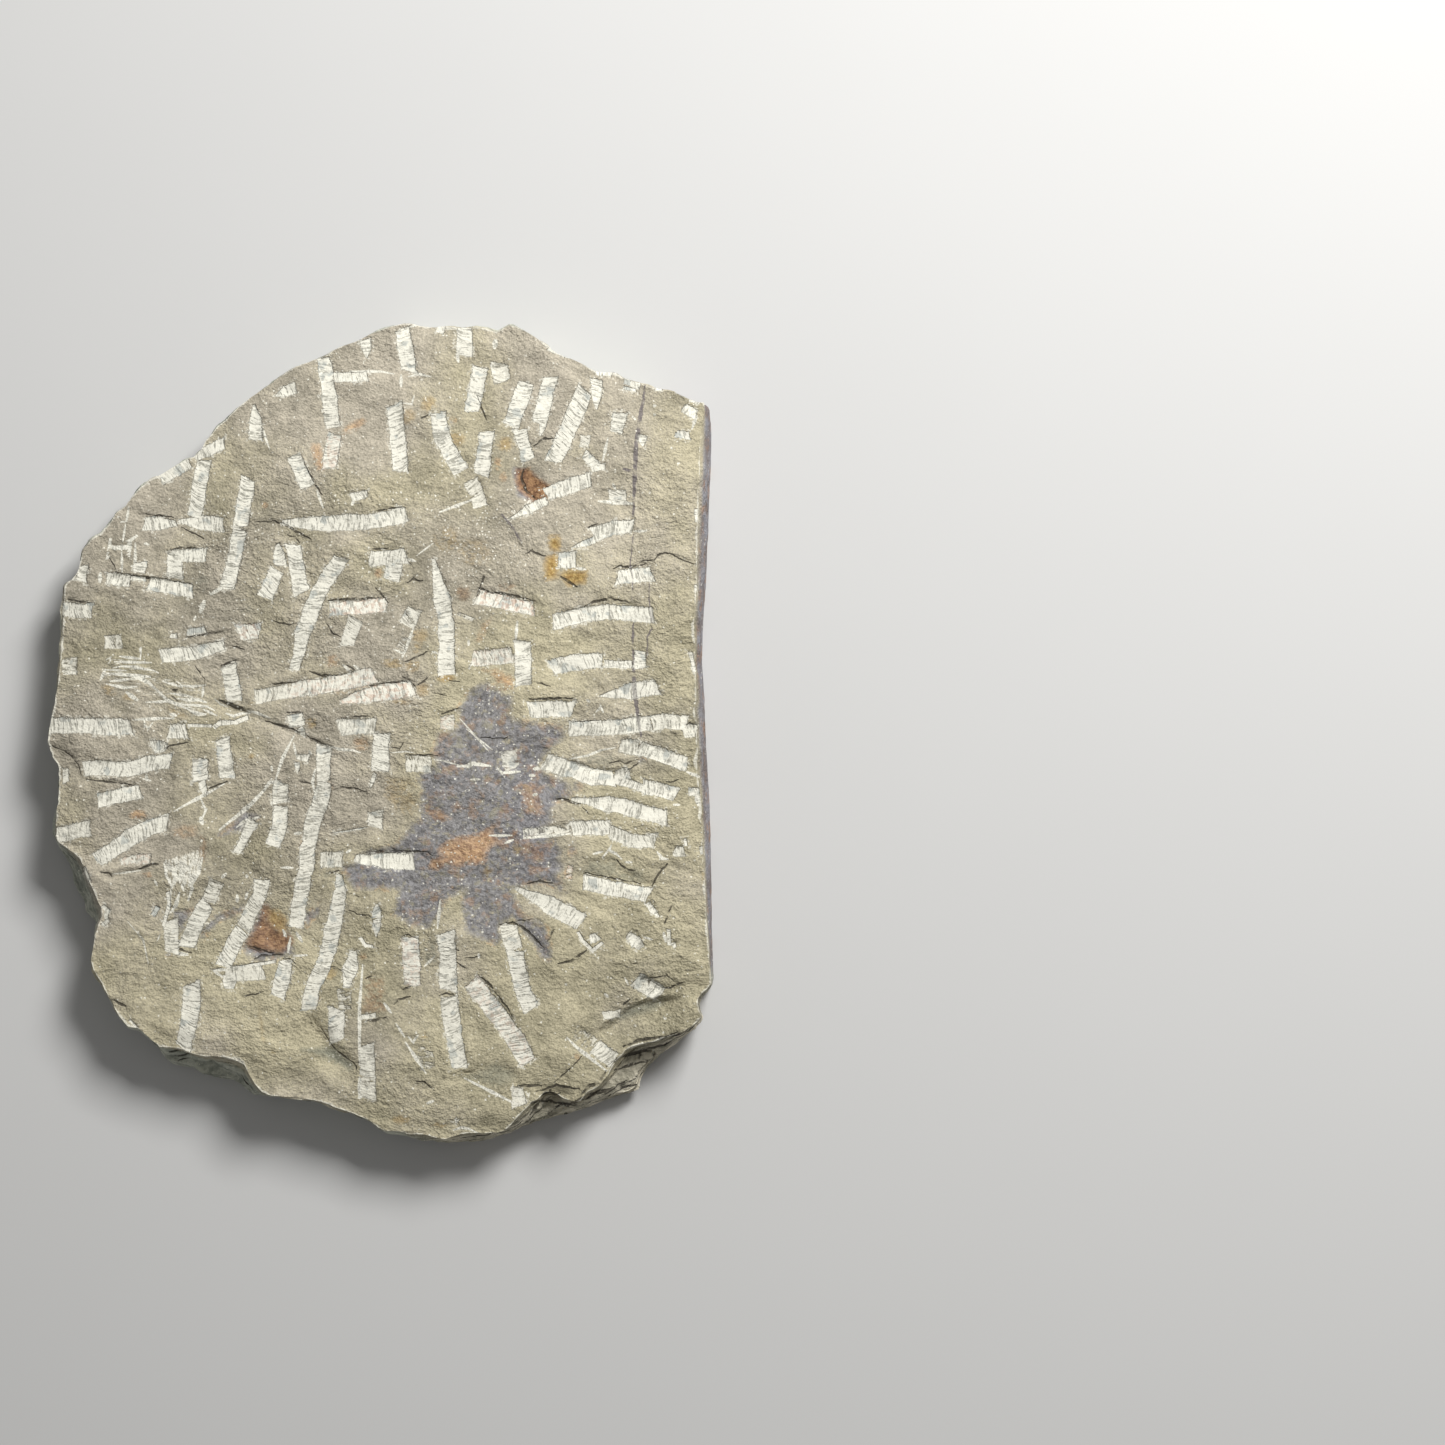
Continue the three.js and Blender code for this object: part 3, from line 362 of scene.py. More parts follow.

# Dark cracks, and painted shadow along the lips of small ledges: width, how far the rock below the
# line has dropped, and the path, written so that the dropped side is on its right.
CRACKS = [
    (0.9, 0.5, [-28, 98, -22, 88]), (0.8, 0.5, [57.5, 106.5, 61, 109.5, 66, 109.5]),
    (0.7, 0.4, [15, 117, 18, 118.5]), (0.6, 0.2, [36, 126, 40, 115]),
    (1.1, 0, [-100, 59, -95.5, 58, -71, 54.6]), (0.9, 0.5, [-117.6, 48.5, -109.3, 47.4]),
    (0.8, 0.5, [-79.4, 67, -75.4, 68.3, -69.6, 68]), (0.8, 0.5, [-88.6, 81, -78, 79.7]),
    (0.7, 0.5, [-75, 76, -66.5, 71.7]), (0.8, 0.6, [-73, 34.5, -59, 36.5]),
    (0.5, 0.2, [-102, 64.5, -99.5, 60]), (0.8, 0.5, [-35, 73, -32, 72, -30.3, 70]),
    (1.3, 0, [-41, 78.4, -37.4, 77.5, -26, 71.3]), (0.7, 0.3, [-47, 78, -41, 78]),
    (0.8, 0.6, [-39.6, 40.4, -34.3, 39, -32.5, 39.5]), (1, 0, [-19.5, 48.3, -0.4, 49.3]),
    (0.8, 0.5, [-2, 53, 3, 47.5]), (0.7, 0.4, [-20, 39.6, -18, 36, -15, 34.6]),
    (0.8, 0.4, [-4.5, 67.5, 3, 68]), (0.8, 0.4, [-2, 82, 9, 83.5]), (0.7, 0.4, [-55.5, 31, -51, 30]),
    (0.8, 0.5, [10, 55, 12.3, 56.3, 16, 55.6]), (0.8, 0.5, [54, 65.4, 56.7, 67, 62.3, 65]),
    (1.2, 0, [36, 49.4, 37.3, 53, 40, 51.6, 51, 50, 58.3, 48]), (0.7, 0.4, [78, 76, 81.6, 77.5]),
    (0.9, 0.7, [87.4, 60.3, 89.6, 61.4, 92.3, 61, 100, 62]),
    (1.1, 0, [70, 44.4, 76, 45.4, 80, 47.7, 86, 49, 94, 47.6]),
    (0.7, 0.5, [94, 61, 98.5, 63, 103, 63.7, 105, 66, 108.4, 66, 114.6, 63, 118.6, 62]),
    (0.5, 0, [-123, -6.5, -119, -8, -115.5, -10.5, -113, -14, -112, -17]),
    # Across the middle.
    (1, 0.5, [-78.5, 12.5, -76, 10.5]), (1.6, 0.5, [-78, 14.5, -75.2, 14.3]),
    (0.7, 0.4, [-82, -8.5, -79, -6.5, -72, -5]), (0.8, 0, [-110, -19, -92, -21]),
    (0.5, 0.2, [-69.5, 23.7, -66, 19, -66, 16]), (0.8, 0.5, [-60, 23.6, -54, 26]),
    (1, 0, [-40, 17, -33, 17.6]), (0.9, 0.3, [-26.5, 21.7, -22, 20, -15, 20, -10, 21.3]),
    (0.9, 0.5, [-12.6, 24, -9.5, 22]), (0.9, 0.3, [-4, 16.3, 11, 18, 13.3, 16]),
    (0.7, 0.4, [8.3, 19.5, 12, 18]), (0.7, 0.4, [14, 16.4, 18, 19]),
    (1.9, 0.5, [-60.5, 11, -49.3, 6.4]), (1.1, 0.3, [-43, 3, -33.5, 0.3, -30, -1.4]),
    (0.7, 0.3, [-27.5, -2.3, -26, -3.5, -17.5, -7]), (0.7, 0.4, [-35, 6, -29, 6.4]),
    (0.8, 0.5, [-64, -22.5, -57, -19.7]), (0.8, 0.4, [-14.5, 4, -2.5, 5]),
    (0.8, 0.6, [-18, -23.3, -14.3, -22, -8, -22.6, -6.5, -23.7, -5, -23.6]),
    (0.5, 0.2, [-29.5, -20, -25.5, -20.5]), (0.7, 0.4, [9.5, 25, 18, 29]),
    (0.5, 0.2, [26, 18, 30, 17.5]), (0.5, 0.2, [20.5, 13.5, 25, 12.5]),
    (0.6, 0.3, [59, 17, 61, 17, 64, 15.6]), (1, 0.6, [56, 11, 72.5, 11.4]),
    (0.5, 0.3, [38, -3.4, 47, -3.7, 49, -2.5]), (0.9, 0.5, [23, 5.5, 30, 7.6]),
    (0.5, 0.4, [10, -9.7, 22, -10]), (0.6, 0.3, [4.5, -7, 7.5, -7.3, 9, -5.3]),
    (1.1, 0.6, [115, 1.4, 116, 2, 119, 1.3]), (0.5, 0.3, [72, 2.6, 82, 3]),
    (0.8, 0.5, [86, -13, 90, -12, 92, -13, 97, -11.5]), (0.7, 0.4, [92, -16.5, 97, -13]),
    (0.7, 0.4, [107.5, -20, 110, -20, 112, -19]),
    (1.2, 0, [66.5, -26.5, 69, -26.3, 73, -28, 75.5, -28]), (0.5, 0.3, [76, -29.5, 79, -32.5]),
    # The lower half.
    (1.2, 0, [-90, -52.5, -85, -51, -82.5, -50.6]), (0.8, 0.4, [-104, -54, -101, -54.3, -100, -55.5]),
    (0.9, 0.5, [-78, -83, -75, -82.3, -70, -84]), (1.1, 0, [-4, -46, 17, -46, 20, -47.5]),
    (0.7, 0.3, [4.5, -44.8, 7, -45.8]), (0.8, 0.5, [-20.5, -53, -18, -54, -15, -53.3]),
    (0.8, 0.4, [-10.5, -61.5, -7.5, -63]),
    (0.6, 0.4, [-11, -68, -8, -69.5, -4, -70, -2.5, -71, -1.7, -74]),
    (1, 0.2, [-48.5, -81.5, -40, -84]), (1, 0.3, [-46.5, -86.5, -44, -85, -36, -84.5]),
    (0.9, 0.5, [-50, -88.4, -40, -87]), (0.6, 0.4, [-36, -86, -33, -86.3, -31, -88]),
    (0.6, 0.3, [-21, -84, -19, -83.3, -17, -84]),
    (0.5, 0.3, [-19, -89, -16, -89.5, -13.5, -91, -12, -94]), (0.9, 0.4, [-5, -93.5, -2.5, -92.5]),
    (0.6, 0.4, [8.3, -77.7, 11, -77.3, 14.5, -78.5]), (0.9, 0.5, [22, -82.7, 24, -82, 30, -83]),
    (0.8, 0.5, [22.5, -100, 25, -99, 28, -99.5]),
    (1.1, 0.2, [45, -73.3, 50, -72.5, 53, -74, 56, -76, 61.5, -82]), (0.7, 0.3, [52, -72, 59, -71.5]),
    (1.4, 0.3, [38.5, -93, 43, -97.5]), (0.9, 0, [43, -98, 48, -104, 50, -108]),
    (0.8, 0.5, [29, -87.5, 33, -90]), (0.5, 0.3, [32, -85.7, 36, -85.7, 38, -85]),
    (0.7, 0.4, [63, -80, 65.5, -75]), (0.9, 0.5, [55.5, -58, 60, -57, 65, -58]),
    (0.8, 0, [89, -49, 90.5, -51, 93, -53, 96, -53]), (0.8, 0.4, [77, -54, 98, -58]),
    (1, 0.4, [108, -50.5, 105, -54, 102, -59]), (0.9, 0.4, [109.5, -66, 107, -73]),
    (0.7, 0.4, [95, -88, 98, -87.5]),
    (1, 0, [100.5, -93.5, 106, -97, 109, -97, 112, -95.5, 118, -94.5]),
    (0.8, 0.5, [101, -93.5, 108, -92.5, 111, -95]), (1.2, 0.7, [67, -88, 72, -87, 78, -83]),
    # The stepped side at the lower right.
    (1.5, 0.7, [91.4, -119, 97, -116.6, 102.7, -115.9, 112.7, -114]),
    (1.6, 0.7, [85.2, -126.5, 90.2, -122.7, 97.7, -120.9, 107.7, -117.8]),
    (1.2, 0.6, [87.7, -127.8, 93.9, -125.9, 100.2, -124.6]),
    (1.6, 0.6, [75.2, -137.1, 79, -133.6, 82.7, -132.1, 85.2, -127.8]),
    (1.6, 0.6, [62.7, -139, 70.2, -140.9, 78.9, -137.1, 87.7, -134.6, 96.4, -133.4]),
    (1.3, 0.6, [58.9, -135.9, 66.4, -133.4, 75.2, -134.6]),
    (1.5, 0.6, [80.2, -142.1, 90.2, -139, 95.2, -135.9]),
    # The foot of the slab.
    (1.6, 0.7, [-99, -101.5, -94.5, -104]), (1.4, 0.6, [53.5, 98, 53, 94.5, 54.5, 90, 58, 87]),
    (1.6, 0.5, [67.7, 57.4, 74, 53.4]), (0.8, 0.4, [-79, -121, -74, -120]),
    (0.8, 0.4, [-77, -122.5, -71, -121.5]), (0.8, 0.4, [-76, -124, -71, -123]),
    (0.7, 0.4, [-50, -100, -46, -99.5, -43, -98.3]), (1.1, 0.5, [-6, -110, 3, -108]),
    (0.7, 0, [-22, -111.5, -16, -120, -8, -126, -9, -129]), (0.8, 0.4, [9, -97.7, 12, -96.5]),
    (0.9, 0.5, [6, -103.3, 7, -101.5, 12, -100.3]), (0.9, 0.5, [14, -132, 17, -132, 20, -134.5]),
    (1.4, 0.8, [52, -133.5, 61, -133.3]), (1, 0.6, [57, -140, 60, -139, 66, -140]),
    (0.9, 0.5, [61, -137, 64, -135.5, 66, -137, 68, -136]), (1, 0, [91.5, -103.5, 94, -101.2]),
    (0.6, 0.3, [65, -133, 73, -126, 76, -122.5]), (1.1, 0.8, [100, -117.5, 103, -117, 112, -113.5]),
    (0.9, 0.6, [88, -128, 95, -125]), (0.9, 0.7, [83, -137, 96, -131]),
    (0.8, 0.5, [91, -134.5, 96, -133.5]), (1.8, 0.7, [76, -139, 83, -135]),
    (1.2, 0.6, [66, -141.5, 69, -140.3, 74, -140.5]),
]

# Purple-grey mineral veins: width and path.
VEINS = [
    (1.5, [99.5, 130, 96, 107, 95, 80]), (1.2, [91, 98, 95.5, 97]),
    (0.6, [95, 73.5, 94, 62, 95, 55, 94.5, 48]), (1, [95, 40, 95, 30.6]),
    (1.6, [95, 30, 95.5, 15, 98, -3]), (0.7, [101, 55, 101, 48, 102.5, 38.7, 100.5, 35, 100.3, 27]),
    (0.9, [45.3, 81, 49, 77, 53, 70.4]),
]

# Stains: for each colour, the strength and the outline of each. The shade outlines are painted shade
# on the dark faces of ledges and hollows, partly the greener tone of a fresh break.
STAINS = {
    "manganese": [
        (1, [37, 16, 40, 17, 43, 16, 48, 12, 50, 14, 49, 7, 50, 3, 68, 1, 69, -3, 61, -10, 60, -14, 62,
         -17, 70, -20, 72, -25, 66, -28, 64, -31, 65, -34, 60, -38, 66, -42, 68, -46, 67, -49, 69, -52,
         66, -55, 71, -62, 62, -57, 50, -60, 51, -64, 55, -71, 60, -72, 63, -75, 65, -85, 64, -87, 60,
         -85, 58, -80, 50, -71, 45, -74, 46, -79, 44, -81, 33, -76, 31, -69, 31, -64, 33, -60, 24, -65,
         23, -69, 18, -75, 12, -74, 5, -69, 8, -60, -2, -60, -9, -60, -14, -52, -10, -51, -8, -48, -5,
         -46, 6, -44, 10, -40, 12, -36, 15, -34, 16, -22, 14, -19, 15, -17, 22, -13, 20, -9, 22, -2, 28,
         -1, 30, 3, 30, 6, 29, 7, 34, 14]),
        (1, [-67, -78, -63, -71, -50, -66, -51, -68, -60, -72, -66, -79]),
        (0.95, [-77, -68, -72, -68, -70, -68, -74, -76, -76, -73]),
        (0.95, [-50, -31, -45, -33, -50, -36, -51, -38, -60, -40]),
        (0.95, [-28, -70, -22, -66, -22, -68, -27, -74]),
        (1, [-44, -67, -51, -82, -48, -86, -45, -87, -39, -87, -36, -85, -32, -85, -32, -81, -35, -73,
         -39, -68, -42, -66]),
        (1.4, [50, 98, 54, 98, 54, 92, 60, 87, 58, 86, 52, 88]),
        (0.5, [-19, -21, -17.5, -20.5, -15.5, -22, -18, -23]),
    ],
    "rust": [
        (1, [22, -45, 26, -42, 37, -39, 43, -36, 42, -39, 45, -42, 42, -44, 40, -47, 40, -50, 31, -51,
         29, -52, 27, -51, 24, -51, 22, -53, 19, -52, 20, -49, 24, -48]),
        (0.5, [52, -20, 62, -21, 66, -19, 60, -25, 62, -33, 54, -31]),
        (0.65, [17, -29, 22, -30, 27, -34, 22, -35, 17, -33]),
        (0.5, [26, -2, 24, -4, 22, -10, 20, -10, 21, -4, 24, 0]),
        (0.6, [56, -51, 64, -52, 63, -54, 57, -54]), (0.5, [17, -60, 24, -61, 22, -62, 17, -62]),
        (0.85, [38, 22, 41, 22, 46, 16, 50, 15, 50, 19, 44, 22]),
        (0.9, [-26, 107, -23, 107, -21, 98, -24, 98]),
        (1, [-15, 110, -13, 114, -7, 117, -6, 116, -11, 112]), (0.55, [42, 42, 38, 39, 36, 33, 38, 33]),
        (0.35, [-78, -38, -73, -36, -68, -36, -68, -40, -72, -42, -78, -41]),
        (0.5, [-29, -40, -29.8, -45, -28.6, -45]), (0.5, [-31.8, -62, -33.6, -68, -31.6, -68]),
        (0.55, [-16, 13, -3, 16, -3, 18, -16, 14]),
    ],
    "brown": [
        (1, [-44, -66, -42, -66, -41, -69, -42, -72, -37, -76, -33, -78, -32, -80, -36, -84, -46, -83,
         -48, -82, -49, -80, -44, -70]),
        (1.6, [51.2, 97.6, 55.6, 98, 58.2, 95, 63.3, 91.5, 61.6, 86, 57.3, 86.4, 52.1, 90.7]),
        (0.5, [52, -42, 62, -43, 62, -50, 54, -50]), (0.5, [-5, -92, 2, -93, 3, -106, -6, -106]),
        (0.5, [-67, -40, -64, -42, -65, -50, -67, -50]),
    ],
    "ochre": [
        (1, [-42, -67, -38, -68, -35, -71, -34, -76, -37, -77, -42, -72]),
        (0.4, [-105, 17, -100, 18, -99, 13, -104, 11]), (0.35, [-80, 9, -74, 8, -71, 4, -78, 4]),
        (1.4, [63.5, 72.5, 67, 72.5, 68, 68.5, 66, 66.5, 63.5, 68]),
        (1.4, [62, 65, 66, 66, 67, 62, 66, 57, 62, 56]),
        (1.4, [68, 58, 71, 60, 78, 59, 77, 55, 71, 54]), (0.75, [40, -52, 42.5, -53, 41, -56, 39, -55]),
        (0.32, [2, -17, 15, -19, 14, -34, 6, -32, 1, -25]),
        (0.5, [-45, -95, -43, -113, -42, -117, -43, -117, -44, -110]),
    ],
    # Painted shade on the dark faces of ledges and hollows, partly the greener tone of a fresh break.
    "shade": [
        (0.8, [86, -110, 93, -104, 107, -100, 106, -103, 103, -105]),
        (1, [-29, -120, -17, -119, -8, -126, -10, -128, -22, -122]),
        (0.55, [73, -9, 88, -10, 88, -14, 80, -14, 73, -11]),
        (0.6, [16, -79, 22, -79, 22, -88, 17, -88]),
        (0.55, [76, -54, 77, -51, 80, -49, 84, -50, 88, -48, 92, -53, 97, -52, 101, -57, 100, -59]),
        (0.6, [31, -130, 40, -127, 45, -124, 50, -127, 52, -131, 45, -134]),
        (0.8, [50, -149, 52, -146, 55, -144, 60, -146, 58, -147]), (0.5, [43, -98, 51, -109, 49, -109]),
        (0.6, [-40, 3.6, -34.5, 1, -39, 1.8]), (0.45, [-66, -58, -61, -58, -63, -66, -67, -64]),
        (0.4, [-21, -53, -17, -53, -17, -59, -21, -59]),
    ],
}

# Round stains, and places rich in mica: for each colour, the strength, centre and half-widths.
SPOTS = {
    "mica": [
        (1.5, 37, 72, 20, 16), (0.9, -20, 100, 22, 10), (0.45, 45, -25, 22, 30), (0.6, -15, 55, 60, 42),
        (1.1, 46, 24, 11, 22), (0.8, 24, 84, 24, 12),
    ],
    "ochre": [
        (0.6, 18, 122.5, 3, 3), (0.45, 10, 118, 3, 3), (0.6, 28.5, 109.5, 3, 3),
        (0.7, 47, 107.5, 3, 2.5), (0.4, 25, 71, 5, 5), (0.35, 35, 66, 7, 6), (0.5, 15, 35, 3, 3),
        (0.5, 14, 30, 2, 2), (0.7, -25.6, 2.5, 2, 2), (0.7, -48, -10.3, 1, 1), (0.7, -48.5, 9.5, 1, 1),
        (0.6, 5, 24.5, 4, 2), (0.6, 12, 24, 3, 2.5), (0.9, 25, 19, 3, 1.5), (0.6, 16, 14.5, 2.5, 2.5),
        (0.55, 8, 10, 4, 1.2), (0.5, -18, -91.5, 2.5, 2.5), (0.55, 51.5, -45, 1.5, 2.5),
        (0.6, 17.5, -114.8, 1.3, 1.3), (0.6, -39, -120.5, 1.2, 1.2), (0.6, 8.5, -146, 3.5, 1.5),
        (0.55, 23, -148, 3, 1.2), (0.4, 122.5, -55, 2, 4), (0.4, -94, 12, 3, 1.6),
    ],
    "rust": [
        (0.55, 44, 100, 1.5, 2.5), (0.5, 46, 95, 1.5, 2), (0.7, -43.4, 84.6, 1.3, 1.3),
        (0.7, -0.6, 58.7, 1.5, 1.5), (0.8, -90.5, -32.2, 3, 1.6), (0.6, -17.6, 25.3, 3, 2.5),
        (0.6, -6.6, -5.5, 3, 2.5), (0.7, -86.5, -54.7, 2.2, 1), (0.6, -6, -85, 1.5, 1.5),
        (0.9, 10.5, -88.5, 1.8, 2.2), (0.6, 9.5, -83, 1.2, 1.6), (0.7, 71, -54, 1.3, 2.6),
        (0.6, 74.5, -122.5, 1.2, 1.2), (0.5, -23.5, -101.5, 2, 2),
    ],
    "brown": [
        (0.45, 31, 51, 3, 3), (0.45, 46, 16, 3, 3), (0.5, 47, 53.5, 4, 1.5),
        (0.7, 50.5, -39.5, 1.2, 1.8),
    ],
    "manganese": [
        (0.5, 27, 116, 1.5, 2), (0.6, -42.5, 13, 1.3, 1), (0.6, 98.5, -12, 1.5, 1.5),
        (0.5, 74, -21.5, 2.5, 2), (0.6, -78.5, -84.7, 1.3, 1.3), (0.6, 72.4, -45.5, 1.4, 2.8),
    ],
    # Small patches of painted shade, partly a greener tone of the rock.
    "shade": [
        (0.45, -66.5, 55, 3, 3), (0.35, -50, 44, 3, 3),
    ],
}

# The side's profile from the rim (0) to the foot (1): how far out and how far down each row lies, for
# a plain side and for a stepped one, and its share of the undercut and of the height that is left.
PROFILE_AT = (0, 0.24, 0.48, 0.66, 0.86, 1)
PLAIN_OUT = (0, 0.45, 0.82, 1, 1, 1)
PLAIN_DOWN = (0, 0.3, 0.68, 1, 1, 1)
SHELF_OUT = (0, 0.22, 0.85, 1, 1, 1)
SHELF_DOWN = (0, 0.55, 0.68, 1, 1, 1)
UNDERCUT_SHARE = (0, 0, 0, 0, 0.35, 1)
FOOT_SHARE = (0, 0, 0, 0, 0.55, 1)
JOINT_FACE_BEARINGS = (-38, 46)

# Small forms: the height of the side's broad steps and thin layers, the circle round which the rim's
# chips are drawn, and how far in the underside begins and how deep its recesses are and step.
STEP_HEIGHT = 2.7
LAYER_STEP = 0.28
CHIP_RING = 140
UNDERSIDE_INSET = 1.2
RECESS_DEPTH = 1.2
RECESS_STEP = 0.22

# How the marks are worked into the surface, in millimetres.
MARK_REACH = 4
MARK_TAPER = 14
GROOVE_WALL = 1.2
CRACK_REACH = 4.5
CRACK_FACE = 1.2
CRACK_OPENING = 0.8
SCRATCH_BREADTH = 1.5
STAIN_SOFTNESS = 1.6
RIM_WEAR_WIDTH = 1.8
RIM_WEAR_DOWN = 0.12
SEAM_SPACING = 1.9

# How far off a mark is said to be where there is none, and how many marks have a look of their own.
FAR = 60.0
MARK_LOOKS = 97

# How far down the side the marks and the cracks run, as a share of it, and where it has all its
# own colour.
MARKED_SIDE = 0.22
CRACKED_SIDE = 0.8
SIDE_COLOURED = 0.3

# The angle in degrees from which a break between faces is sharp.
SHARP_BREAK = 34

# The points along each axis of the random values that every noise is made of, and the noises of the
# shape and the colours: size in millimetres, seed, and the number of layers.
LATTICE = 64
NOISES = {
    "rim chips": (7, 61, 3),
    "flakes": ((15, 11, 10), 31, 4),
    "small flakes": ((3.4, 2.8, 4), 41, 2),
    "warp along x": (6, 21, 1),
    "warp along y": (6, 22, 1),
    "side steps": ((22, 22, 9), 91, 1),
    "small side steps": ((7, 7, 5), 92, 1),
    "side layers": ((15, 15, 3.4), 51, 3),
    "small side layers": ((5, 5, 2.2), 57, 2),
    "side lift": ((9, 6, 5), 71, 3),
    "underside": ((46, 34, 20), 81, 5),
    "broad tone": (55, 822, 2),
    "patchy tone": (14, 202, 3),
    "warmth": (30, 203, 3),
    "rugged": (38, 204, 2),
    "seams": (9, 205, 4),
}

# Each stain's greatest cover, in the order in which they lie on each other, and the other paints'. The
# shade is painted shade on the faces of ledges, partly the greener tone of a fresh break.
STAIN_STRENGTHS = {"shade": 0.7, "manganese": 0.85, "ochre": 0.8, "rust": 0.75, "brown": 0.92}
# The seam and crack paints are partly painted shadow, the rim paint partly a painted highlight, and the
# mica paint painted glints.
STRENGTHS = {
    "seam_and_shadow": 0.85, "crack_and_shadow": 0.85, "rust": 0.5, "moss": 0.5, "slate": 0.6, "rosy": 0.6, "dust": 0.6,
    "patch": 0.9, "rim": 0.7, "mica": 0.85,
}

# The grains that the looks are made of: the size of the lumps in millimetres, how far they are drawn
# out along each axis, the detail and roughness of the noise, and a shift that sets one off from another.
Grain = namedtuple(
    "Grain", "size stretch detail roughness shift", defaults=((1, 1, 1), 3, 0.5, (0, 0, 0))
)
GRAINS = {
    "hackle": Grain(1.6, (1.2, 1, 1), 4, 0.62),
    "flakes": Grain(7, (1.25, 1, 1)),
    "creases": Grain(12, (1.3, 1, 1), 2),
    "grit": Grain(0.75, detail=2),
    "layers": Grain(1.6, (11, 11, 1), roughness=0.6),
    "seam gaps": Grain(4, detail=2, shift=(1, 9, 2)),
    "rust": Grain(5.5, roughness=0.65, shift=(8, 8, 0)),
    "mottle": Grain(1.4, roughness=0.65, shift=(0, 3, 0)),
    "moss": Grain(3.6, roughness=0.65, shift=(1, 5, 0)),
    "stain": Grain(8, (1.3, 1, 1), 5, 0.68),
    "stain flecks": Grain(1.3, (1.3, 1, 1), shift=(2, 7, 0)),
    "line sway": Grain(2.4),
    "line gaps": Grain(3.4, detail=1, shift=(9, 4, 0)),
    "track sway": Grain(6.5, detail=1),
    "track patches": Grain(3.2, roughness=0.65, shift=(6, 1, 0)),
    "track flecks": Grain(1, roughness=0.6, shift=(1, 8, 0)),
    "slate": Grain(5, detail=2, shift=(2, 2, 5)),
    "rosy": Grain(1.6, detail=4, shift=(3, 1, 0)),
    "level streaks": Grain(1.1, (4.5, 0.7, 1), roughness=0.65),
    "upright streaks": Grain(1.8, (0.6, 2.2, 1), roughness=0.65),
    "rim": Grain(7),
    "mica fields": Grain(28, detail=2),
    "mica edges": Grain(0.45, detail=2),
    "floor": Grain(90, detail=2),
}

# A track's ribs, fine and broad: how far apart along it and how long across it, in millimetres. Then
# how much they lean, bow and sway, and how far askew a track ends.
RIB_SIZES = ((0.72, 7.0), (3.4, 9.0))
RIB_LEAN = 0.28
RIB_BOW = 0.035
RIB_SWAY = 3.2
END_SKEW = 0.32

# The mica, painted pale as painted glints: the share of grains that stay hidden in plain rock, and
# the radius of the smallest grain and how much more the largest has, as shares of the spacing.
MICA_HIDDEN = 0.84
MICA_RADIUS = 0.14
MICA_RADIUS_RANGE = 0.2

# The slow noise that bends the grain of the rock: the size of its lumps and its push, in metres.
BEND_SIZE = 26 * MM
BEND_REACH = 9 * MM

# Where the stepped side, painted paler than the rock as painted light, and the joint face begin and
# where they have all their own look: from and to along X, and from and to along Y. Then where the
# streaks of a bruised patch turn upright, along Y.
CLIFF_SPAN = (5, 30, -90, -104)
JOINT_SPAN = (100, 106, -96, -86)
UPRIGHT_FROM = -20
UPRIGHT_FULL = -35

# Finishes that are the same for every slab.
MICA_ROUGHNESS = 0.35
ROCK_SPECULAR = 0.35
FLOOR_ROUGHNESS = 0.9

# The middle of the camera's frame, in the slab's own millimetres: the space beside the slab is where
# its other half would lie. Then how far the camera sees, and the key light, in metres.
FRAME_MIDDLE = (128.6, 2.4)
CAMERA_REACH = 100
KEY_PLACE = (0.62, 0.87, 0.97)
KEY_AIM = (0.02, 0, 0)
KEY_SIZE = 0.55


def smooth(t):
    """The smooth step: 0 below 0, 1 above 1, and s * s * (3 - 2 * s) between them."""
    s = np.clip(t, 0, 1)
    return s * s * (3 - 2 * s)


def mix(first, second, share):
    """Goes straight from the first value to the second as the share goes from 0 to 1."""
    return first + (second - first) * share


def noise(points, size, seed):
    """Smooth random heights from -1 to 1. Random values stand at the corners of boxes of the given
    size, and a point blends the eight round it by the smooth step along X, Y and Z."""
    values = np.random.default_rng(seed).uniform(-1, 1, (LATTICE,) * 3)
    place = points / np.broadcast_to(np.asarray(size, float), (3,))
    corner = np.floor(place).astype(int)
    x, y, z = smooth(place - corner).T
    i, j, k = (corner % LATTICE).T
    i_next, j_next, k_next = ((corner + 1) % LATTICE).T
    near = mix(
        mix(values[i, j, k], values[i_next, j, k], x),
        mix(values[i, j_next, k], values[i_next, j_next, k], x),
        y,
    )
    far = mix(
        mix(values[i, j, k_next], values[i_next, j, k_next], x),
        mix(values[i, j_next, k_next], values[i_next, j_next, k_next], x),
        y,
    )
    return mix(near, far, z)


def fractal(points, name):
    """A named noise: a sum of layers, each half the size and half the height of the one before."""
    size, seed, count = NOISES[name]
    size = np.asarray(size, float)
    layers = [noise(points, size / 2**n, seed + n) / 2**n for n in range(count)]
    return sum(layers) / (2 - 2 ** (1 - count))


def terraced(height, step, riser):
    """Cuts a slope into flat steps. Each step climbs to the next over its last part, the riser."""
    level = np.floor(height / step)
    part = height / step - level
    return step * (level + smooth((part - 1 + riser) / riser))


def pairs(numbers):
    """A flat run of X and Y values as points."""
    return np.reshape(np.array(numbers, float), (-1, 2))


def polar(x, y):
    """Bearing in degrees, and distance from the origin."""
    return np.degrees(np.arctan2(y, x)), np.hypot(x, y)


def sorted_pair(keys, values):
    """Two columns put in rising order of the first."""
    order = np.argsort(keys)
    return keys[order], values[order]


